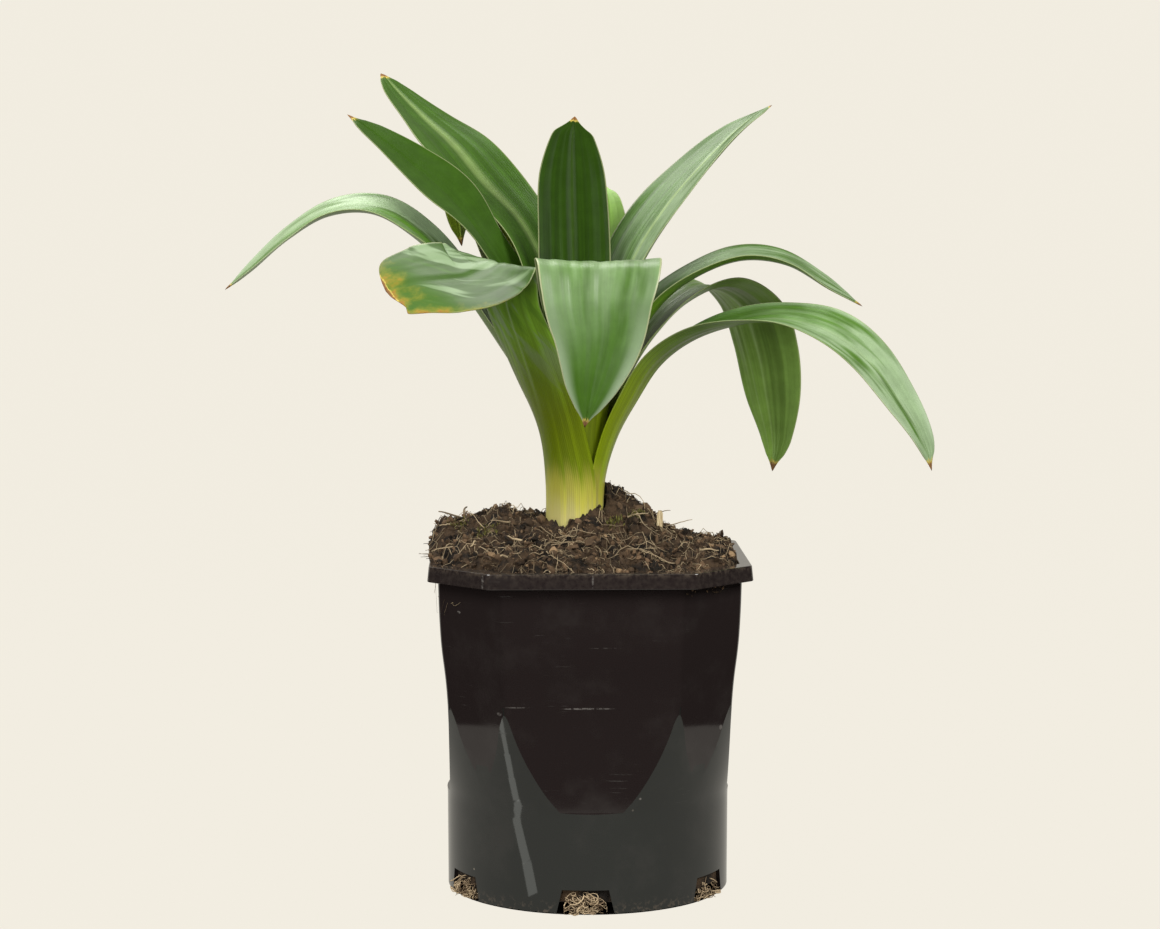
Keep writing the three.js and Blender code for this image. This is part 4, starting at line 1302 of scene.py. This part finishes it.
def pot_finish(settings):
    material, tree, shader = finish_with(
        "black_moulded_plastic", Specular_IOR_Level=0.5, IOR=1.5)
    place = object_place(tree)
    wear = use_group(tree, plastic_wear(), Place=place)
    x, y, height = parts(tree, place)
    # The round part is painted a paler grey-green, a painted reflection of the floor in its gloss.
    colour = blend(tree, attribute(tree, "round_part"), settings.plastic_black,
                   settings.plastic_grey)
    for label, most, tone in (("Dust", 0.18, (0.05, 0.045, 0.042)),
                              ("Scratch", 0.22, (0.09, 0.085, 0.08)),
                              ("Speck", 0.55, (0.35, 0.31, 0.25))):
        colour = blend(tree, times(tree, wear[label], most), colour, tone)
    # Soil dust on the rim and a film of dried silt at the foot.
    grains = cloud(tree, place, 420.0, 4.0, 0.6)
    silt, top, rim = (
        times(tree, fade(tree, height, *band), fade(tree, grains, *coarse))
        for band, coarse in (((0.0, 0.009, 1.0, 0.0), (0.5, 0.66)),
                             ((0.1735, 0.1768), (0.40, 0.68)), ((0.1684, 0.169), (0.3, 0.75))))
    colour = blend(tree, times(tree, rim, 0.35), colour, (0.055, 0.045, 0.038))
    colour = blend(tree, times(tree, maths(tree, "MAXIMUM", silt, top), 0.6), colour,
                   (0.10, 0.078, 0.058))
    # Marks on the front, among them the painted highlight on the rim's front-left corner.
    marks = 0.0
    for mark_x, mark_z, wide, high, strength in FRONT_MARKS_AND_HIGHLIGHT:
        aside, above = (
            maths(tree, "DIVIDE", maths(tree, "SUBTRACT", here, middle * MM), half * MM)
            for here, middle, half in ((x, mark_x, wide), (height, mark_z, high)))
        away = maths(tree, "ADD", times(tree, aside, aside), times(tree, above, above))
        marks = maths(tree, "MAXIMUM", marks, fade(tree, away, 0.35, 1.0, strength, 0.0))
    marks = times(tree, marks, fade(tree, grains, 0.38, 0.6))
    marks = times(tree, marks, fade(tree, y, -0.02, -0.01, 1.0, 0.0))
    colour = blend(tree, marks, colour, (0.16, 0.15, 0.14))
    rough = linear(tree, wear["Dust"], 0.05, settings.plastic_roughness)
    rough = linear(tree, maths(tree, "MAXIMUM", silt, wear["Scratch"]), 0.3, rough)
    relief = linear(tree, wear["Scratch"], 0.06, wear["Ripple"])
    link_finish(tree, shader, colour, rough, relief, 0.12, 0.001)
    return material


def soil_finish(settings):
    material, tree, shader = finish_with("moist_peat", Specular_IOR_Level=0.25)
    place = object_place(tree)
    grain = cloud(tree, place, 700.0, 6.0, 0.7)
    clod = cloud(tree, place, 120.0, 4.0, 0.6)
    tone = attribute(tree, "tone")
    brown = settings.soil_brown
    # The mound has no tone, so it stays dark between the crumbs: the peat's own dark with painted
    # shade; the crumbs turn lighter by their tone.
    colour = blend(tree, fade(tree, clod, 0.38, 0.62), [c * 0.6 for c in settings.soil_dark],
                   [c * 0.8 for c in brown])
    colour = blend(tree, fade(tree, tone, 0.2, 0.9), colour, [c * 2.0 for c in brown])
    colour = blend(tree, times(tree, fade(tree, grain, 0.62, 0.75), 0.5), colour,
                   (0.16, 0.10, 0.055))
    colour = blend(tree, fade(tree, tone, 0.955, 0.97), colour, (0.30, 0.20, 0.11))
    link_finish(tree, shader, colour, fade(tree, clod, 0.3, 0.7, 0.72, 0.95),
                maths(tree, "ADD", grain, clod), 0.9, 0.0012)
    return material


def fibre_finish(name, dark, pale, settings):
    """Dry plant fibre whose tone differs from one fibre to the next."""
    material, tree, shader = finish_with(name, Specular_IOR_Level=0.3)
    place = object_place(tree)
    tone = attribute(tree, "tone")
    patch = cloud(tree, place, 240.0, 4.0, 0.6)
    share = maths(tree, "MULTIPLY_ADD", patch, 0.35, times(tree, tone, 0.85), clamp=True)
    colour = blend(tree, fade(tree, share, 0.2, 0.95), dark, pale)
    # The felt, with a tone below zero, takes the darkest peat colour: painted shade in the notch.
    colour = blend(tree, fade(tree, tone, -0.5, 0.0, 1.0, 0.0), colour, settings.soil_dark)
    link_finish(tree, shader, colour, fade(tree, patch, 0.3, 0.7, 0.6, 0.85),
                cloud(tree, place, 1500.0, 3.0, 0.6), 0.5, 0.0003)
    return material


def chip_finish():
    material, tree, shader = finish_with("weathered_chip", Specular_IOR_Level=0.3)
    place = object_place(tree)
    grain = cloud(tree, place, 1.0, 5.0, 0.65, stretch=(1400.0, 1400.0, 90.0))
    patch = cloud(tree, place, 130.0, 3.0, 0.6)
    colour = blend(tree, fade(tree, grain, 0.35, 0.65), (0.30, 0.22, 0.11), (0.62, 0.52, 0.32))
    colour = blend(tree, fade(tree, patch, 0.52, 0.7), colour, (0.16, 0.10, 0.05))
    link_finish(tree, shader, colour, fade(tree, grain, 0.3, 0.7, 0.6, 0.85), grain, 0.7, 0.0004)
    return material


def bulb_finish():
    material, tree, shader = finish_with("papery_bulb_skin", Specular_IOR_Level=0.4)
    place = object_place(tree)
    line = cloud(tree, place, 1.0, 4.0, 0.6, stretch=(420.0, 420.0, 35.0))
    flake = cloud(tree, place, 60.0, 4.0, 0.6)
    colour = blend(tree, fade(tree, line, 0.35, 0.65), (0.42, 0.26, 0.12), (0.66, 0.50, 0.30))
    colour = blend(tree, fade(tree, flake, 0.55, 0.62), colour, (0.70, 0.64, 0.50))
    link_finish(tree, shader, colour, fade(tree, flake, 0.4, 0.6, 0.45, 0.7), line, 0.6, 0.0005)
    return material


def moss_finish():
    material, tree, shader = finish_with("moss", Specular_IOR_Level=0.3)
    tone = attribute(tree, "tone")
    colour = blend(tree, tone, (0.05, 0.055, 0.01), (0.19, 0.19, 0.035))
    brown = times(tree, cloud(tree, object_place(tree), 90.0), 0.4)
    put(tree, shader.inputs["Base Color"], blend(tree, brown, colour, (0.10, 0.06, 0.02)))
    put(tree, shader.inputs["Roughness"], fade(tree, tone, 0.0, 1.0, 0.55, 0.75))
    return material


def studio_finish(name, colour, shade, seen_glow, cast_glow, mirrored_glow):
    """Matt paper with an even glow of its own for the camera, for what it lights and for gloss."""
    material, tree, shader = finish_with(name, Roughness=0.9, Specular_IOR_Level=0.0)
    fine = cloud(tree, object_place(tree), 3.0, 3.0)
    dim = [c * shade for c in colour]
    put(tree, shader.inputs["Base Color"], blend(tree, fine, [c * 0.97 for c in dim], dim))
    put(tree, shader.inputs["Emission Color"], (*colour, 1.0))
    # Its glow is so even that aiming light at it would only add grain.
    material.cycles.emission_sampling = "NONE"
    rays = tree.nodes.new("ShaderNodeLightPath")
    glow = fade(tree, rays.outputs["Is Glossy Ray"], 0.0, 1.0, cast_glow, mirrored_glow)
    put(tree, shader.inputs["Emission Strength"],
        maths(tree, "MULTIPLY_ADD", rays.outputs["Is Camera Ray"],
              maths(tree, "SUBTRACT", seen_glow, glow), glow))
    return material


# Settings a user would change.

def whole_number(name, description, default, least):
    return IntProperty(name=name, description=description, default=default, min=least)


def real_length(name, description, default):
    return FloatProperty(name=name, description=description, default=default, unit="LENGTH",
                         precision=5)


def fraction(name, description, default):
    return FloatProperty(name=name, description=description, default=default, subtype="FACTOR",
                         min=0.0, max=1.0)


def strength(name, description, default):
    return FloatProperty(name=name, description=description, default=default, min=0.0)


def paint(name, description, *default):
    return FloatVectorProperty(name=name, description=description, subtype="COLOR",
                               default=default)


class AlliumLeafSettings(bpy.types.PropertyGroup):
    leaf_columns: whole_number("Columns", "Faces across a blade", 44, 8)
    leaf_rows: whole_number("Rows", "Faces between two points of a leaf's path", 13, 2)
    fold_depth: real_length("Fold depth", "Depth of the lengthwise folds", 0.00016)
    keel_depth: real_length("Keel depth", "Depth of the groove over the midrib", 0.0006)
    wave_height: real_length("Wave height", "How far the margins wave", 0.0007)
    blade_roughness: fraction("Blade roughness", "Roughness of a clean blade", 0.29)
    blade_green: paint("Blade", "Green of the upper face", 0.066, 0.165, 0.014)
    bloom_green: paint("Bloom", "Bluish wax on the upper face", 0.24, 0.345, 0.185)
    under_green: paint("Underside", "Green of the lower face", 0.075, 0.15, 0.012)
    rib_green: paint("Midrib", "Pale green over the midrib", 0.27, 0.38, 0.13)
    aged_yellow: paint("Aged blade", "Yellow that older leaves turn to", 0.23, 0.25, 0.02)
    # The colour of the painted highlight along the margins.
    edge_wax: paint("Waxy edge", "White wax beside the margins", 0.40, 0.50, 0.35)
    neck_cream: paint("Neck at the soil", "Cream of the sheaths", 0.52, 0.47, 0.17)
    neck_yellow: paint("Neck above the soil", "Pale yellow", 0.40, 0.38, 0.055)
    neck_green: paint("Neck's top", "Yellow-green of the sheaths", 0.13, 0.18, 0.003)
    margin_pale: paint("Margin", "Thin pale edge of a blade", 0.38, 0.40, 0.22)
    tip_gold: paint("Dying tissue", "Yellow round a dead tip", 0.52, 0.42, 0.09)
    tip_brown: paint("Dead tip", "Brown of a dead tip", 0.20, 0.10, 0.035)
    scorch_yellow: paint("Scorched edge", "Yellow of scorched tissue", 0.20, 0.20, 0.02)
    scorch_orange: paint("Scorched rim", "Orange next to dead tissue", 0.33, 0.15, 0.02)


class AlliumPotSettings(bpy.types.PropertyGroup):
    pot_columns: whole_number("Columns", "Faces round the pot", 224, 48)
    pot_gap: real_length("Row gap", "Height of the rows of faces", 0.003)
    plastic_black: paint("Plastic", "Colour of the pot", 0.0160, 0.0118, 0.0116)
    # The round part's colour is a painted reflection of the floor.
    plastic_grey: paint("Round part", "Colour of the paler round part of the pot",
                        0.0125, 0.0142, 0.0128)
    plastic_roughness: fraction("Roughness", "Roughness of the pot", 0.075)


class AlliumSoilSettings(bpy.types.PropertyGroup):
    soil_columns: whole_number("Columns", "Faces round the heap", 420, 48)
    soil_rows: whole_number("Rows", "Faces from rim to neck", 66, 8)
    crumb_count: whole_number("Crumbs", "Crumbs of peat", 6500, 26)
    fibre_count: whole_number("Fibres", "Fibres in the heap", 1700, 1)
    twig_count: whole_number("Twigs", "Stiffer bits of stem", 70, 1)
    moss_leaves: whole_number("Moss", "Leaflets in a tuft", 150, 1)
    root_count: whole_number("Roots", "Roots in a full notch", 44, 3)
    # The darkest peat, which also paints the shade on the mound between the crumbs and in the
    # notches behind the roots.
    soil_dark: paint("Moist peat", "Darkest soil", 0.012, 0.008, 0.005)
    soil_brown: paint("Peat", "Brown of the crumbs", 0.080, 0.050, 0.028)
    fibre_dark: paint("Dark fibre", "Darkest fibres", 0.05, 0.028, 0.014)
    fibre_pale: paint("Pale fibre", "Palest fibres", 0.40, 0.31, 0.19)
    root_dark: paint("Dark root", "Darkest roots", 0.10, 0.062, 0.034)
    root_pale: paint("Pale root", "Palest roots", 0.52, 0.40, 0.25)


class AlliumStudioSettings(bpy.types.PropertyGroup):
    floor_colour: paint("Floor", "Colour of floor and backdrop", 0.888, 0.847, 0.753)
    floor_glow: strength("Glow", "Even light of floor and backdrop", 0.992)
    bounce: strength("Bounce", "Light that floor and backdrop cast", 0.30)
    mirrored: strength("Mirrored glow", "Glow of floor and backdrop in gloss", 0.62)
    strip_glow: strength("Slim light", "Glow of the slim light in the gloss", 1.4)
    top_light: strength("Top light", "Power of the softbox overhead", 15.0)
    key_light: strength("Key light", "Power of the softbox at front left", 22.0)
    fill_light: strength("Fill light", "Power of the softbox at front right", 26.0)
    front_light: strength("Front light", "Power of the low softbox in front", 14.0)
    focal_length: strength("Focal length", "Camera lens in millimetres", 88.634)


# One operator for each piece or group of like pieces.

class ALLIUM_OT_leaves(bpy.types.Operator):
    """Make the twelve leaves, each from its sheath in the neck to its tip"""
    bl_idname = "allium.leaves"
    bl_label = "Leaves"

    def execute(self, context):
        settings = context.scene.allium_leaf
        for seed, node in enumerate(LEAVES, start=1):
            blade = make_leaf(node, settings, seed)
            dress(blade, leaf_finish(node, settings, seed), "leaf", node)
        return {"FINISHED"}


class ALLIUM_OT_pot(bpy.types.Operator):
    """Make the black nursery pot"""
    bl_idname = "allium.pot"
    bl_label = "Nursery pot"

    def execute(self, context):
        settings = context.scene.allium_pot
        dress(make_pot(settings), pot_finish(settings), "pot_plastic", "pot")
        return {"FINISHED"}


class ALLIUM_OT_soil(bpy.types.Operator):
    """Make the heaped soil with its crumbs, fibres, twigs and moss"""
    bl_idname = "allium.soil"
    bl_label = "Soil"

    def execute(self, context):
        settings = context.scene.allium_soil
        peat = soil_finish(settings)
        dress(make_soil(settings), peat, "soil", "soil")
        dress(make_crumbs(settings), peat, "soil")
        fibre = fibre_finish("coir_fibre", settings.fibre_dark, settings.fibre_pale, settings)
        dress(make_fibres(settings), fibre, "soil")
        dress(make_twigs(settings), fibre, "soil")
        dress(make_moss(settings), moss_finish(), "soil")
        return {"FINISHED"}


class ALLIUM_OT_bulb(bpy.types.Operator):
    """Give the buried bulb its papery skin"""
    bl_idname = "allium.bulb"
    bl_label = "Bulb"

    def execute(self, context):
        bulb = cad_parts["bulb"]
        bulb.data.materials.clear()
        bulb.data.materials.append(bulb_finish())
        return {"FINISHED"}


class ALLIUM_OT_chip(bpy.types.Operator):
    """Make the pale chip of wood in the soil"""
    bl_idname = "allium.chip"
    bl_label = "Bark chip"

    def execute(self, context):
        dress(make_chip(), chip_finish(), "bark", "bark_chip")
        return {"FINISHED"}


class ALLIUM_OT_roots(bpy.types.Operator):
    """Make the tangles of roots in three drainage notches"""
    bl_idname = "allium.roots"
    bl_label = "Roots"

    def execute(self, context):
        settings = context.scene.allium_soil
        finish = fibre_finish("dry_root", settings.root_dark, settings.root_pale, settings)
        for node, turn, share, seed in (("roots_front", 0, 1.0, 7), ("roots_left", -60, 0.9, 29),
                                        ("roots_right", 60, 0.45, 61)):
            count = int(settings.root_count * share)
            dress(make_roots(node, NOTCH_TURN + turn, count, seed), finish, "roots", node)
        return {"FINISHED"}


class ALLIUM_OT_studio(bpy.types.Operator):
    """Make the round studio floor and backdrop, the soft lights and the camera"""
    bl_idname = "allium.studio"
    bl_label = "Studio"

    def execute(self, context):
        settings = context.scene.allium_studio
        turn = full_turn(96)
        profile = [(r, 0) for r in (0, 300, 900, 1800, FLOOR_RADIUS)]
        profile += [(FLOOR_RADIUS + FLOOR_CURVE * math.sin(a),
                     FLOOR_CURVE - FLOOR_CURVE * math.cos(a))
                    for a in np.linspace(0.1, math.pi / 2, 14)]
        profile += [(FLOOR_RADIUS + FLOOR_CURVE, z) for z in (2200, BACKDROP_TOP)]
        floor = grid_piece("studio_floor", lathe_rows(profile, turn), closed=True)
        in_edit(floor, lambda: bpy.ops.mesh.flip_normals())
        floor.data.materials.append(studio_finish(
            "studio_paper", settings.floor_colour, 0.006, settings.floor_glow, settings.bounce,
            settings.mirrored))
        # Painted shadow: a dark disc on the floor under the pot, so the glowing floor doesn't show
        # through the notches.
        shade = [(0, 0.15), (40, 0.15), (POT_BELL[0][0] - 0.6, 0.15)]
        hidden = grid_piece("painted_shadow_under_pot", lathe_rows(shade, turn), closed=True)
        hidden.data.materials.append(studio_finish("shaded_paper", (0.01, 0.008, 0.007), 1.0,
                                                   0.0, 0.0, 0.0))
        # The unlit room beyond the table, which only gloss shows.
        sweep = np.radians(np.linspace(-115, 115, 33) - 90)
        beyond = ((312, 1), (500, 1), (900, 1), (1300, 1), (1300, 300), (1300, 800))
        card = grid_piece("unlit_room", lathe_rows(beyond, sweep))
        card.data.materials.append(studio_finish("unlit_room_paper", (0.012, 0.011, 0.01), 0.3,
                                                 0.0, 0.0, 0.0))
        show_in_gloss_only(card)
        card.visible_shadow = False
        # One slim light, beside the left edge of the pot's front.
        for number, width in enumerate(SLIM_WIDTHS):
            add_slim_light(f"slim_light_{number + 1}", settings.strip_glow, width,
                           SLIM_JOINTS[number:number + 2])
        for name, power, size, place in (
                ("top_softbox", settings.top_light, 1.0, (-0.3, 0.4, 1.5)),
                ("key_softbox", settings.key_light, 0.8, (-1.1, -1.0, 1.3)),
                ("fill_softbox", settings.fill_light, 0.8, (1.2, -0.9, 1.1)),
                ("front_softbox", settings.front_light, 1.0, (-0.7, -1.7, 0.32))):
            add_softbox(name, power, size, place)
        world = bpy.data.worlds.new("studio_air")
        world.use_nodes = True
        air = world.node_tree.nodes["Background"]
        air.inputs["Color"].default_value = (*settings.floor_colour, 1.0)
        air.inputs["Strength"].default_value = 0.35
        context.scene.world = world
        context.scene.view_settings.view_transform = "Standard"
        bpy.ops.object.camera_add(location=CAMERA_PLACE,
                                  rotation=(math.radians(90 - CAMERA_TILT), 0, 0))
        camera = context.object
        camera.name = "photo_camera"
        camera.data.sensor_width = 36.0
        camera.data.lens = settings.focal_length
        camera.data.clip_end = 50.0
        context.scene.camera = camera
        return {"FINISHED"}


def add_softbox(name, power, size, place):
    """Square soft light that looks at the middle of the plant."""
    bpy.ops.object.light_add(type="AREA", location=place)
    light = bpy.context.object
    light.name = name
    light.data.energy = power
    light.data.size = size
    aim = Vector((0, 0, 0.22)) - Vector(place)
    light.rotation_euler = aim.to_track_quat("-Z", "Y").to_euler()
    light.data.color = (1.0, 0.985, 0.96)


def show_in_gloss_only(thing):
    thing.visible_camera = False
    thing.visible_diffuse = False
    thing.visible_transmission = False


def add_slim_light(name, glow, width, ends):
    """Length of the slim light that only gloss shows, between two joints, facing the pot."""
    low, high = (Vector(outward(azimuth) * SLIM_DISTANCE + np.array([0, 0, z])) * MM
                 for z, azimuth in ends)
    middle = (low + high) / 2
    bpy.ops.object.light_add(type="AREA", location=middle)
    light = bpy.context.object
    light.name = name
    upward = (high - low).normalized()
    across = upward.cross(Vector((middle.x, middle.y, 0.0))).normalized()
    light.rotation_euler = Matrix((across, upward, across.cross(upward))).transposed().to_euler()
    light.data.shape = "RECTANGLE"
    light.data.size = width * MM
    light.data.size_y = (high - low).length
    light.data.energy = SLIM_POWER * glow * light.data.size * light.data.size_y
    light.data.color = (0.80, 0.82, 0.76)
    show_in_gloss_only(light)


class ALLIUM_PT_sidebar(bpy.types.Panel):
    bl_idname = "ALLIUM_PT_sidebar"
    bl_label = "Potted giant allium"
    bl_space_type = "VIEW_3D"
    bl_region_type = "UI"
    bl_category = "Allium"

    def draw(self, context):
        for title, group in (("Leaves", "allium_leaf"), ("Pot", "allium_pot"),
                             ("Soil and roots", "allium_soil"), ("Studio", "allium_studio")):
            box = self.layout.box()
            box.label(text=title)
            settings = getattr(context.scene, group)
            for name in settings.bl_rna.properties.keys():
                if name not in {"rna_type", "name"}:
                    box.prop(settings, name)
        for operator in OPERATORS:
            self.layout.operator(operator.bl_idname)


SETTINGS = {
    "allium_leaf": AlliumLeafSettings,
    "allium_pot": AlliumPotSettings,
    "allium_soil": AlliumSoilSettings,
    "allium_studio": AlliumStudioSettings,
}
OPERATORS = (ALLIUM_OT_pot, ALLIUM_OT_soil, ALLIUM_OT_bulb, ALLIUM_OT_chip, ALLIUM_OT_roots,
             ALLIUM_OT_leaves, ALLIUM_OT_studio)
CLASSES = (*SETTINGS.values(), *OPERATORS, ALLIUM_PT_sidebar)


def register():
    for kind in CLASSES:
        bpy.utils.register_class(kind)
    for name, kind in SETTINGS.items():
        setattr(bpy.types.Scene, name, PointerProperty(type=kind))


def unregister():
    for name in SETTINGS:
        delattr(bpy.types.Scene, name)
    for kind in reversed(CLASSES):
        bpy.utils.unregister_class(kind)


def main():
    register()
    for operator in OPERATORS:
        group, name = operator.bl_idname.split(".")
        getattr(getattr(bpy.ops, group), name)()
    nothing_selected()


if __name__ == "__main__":
    main()
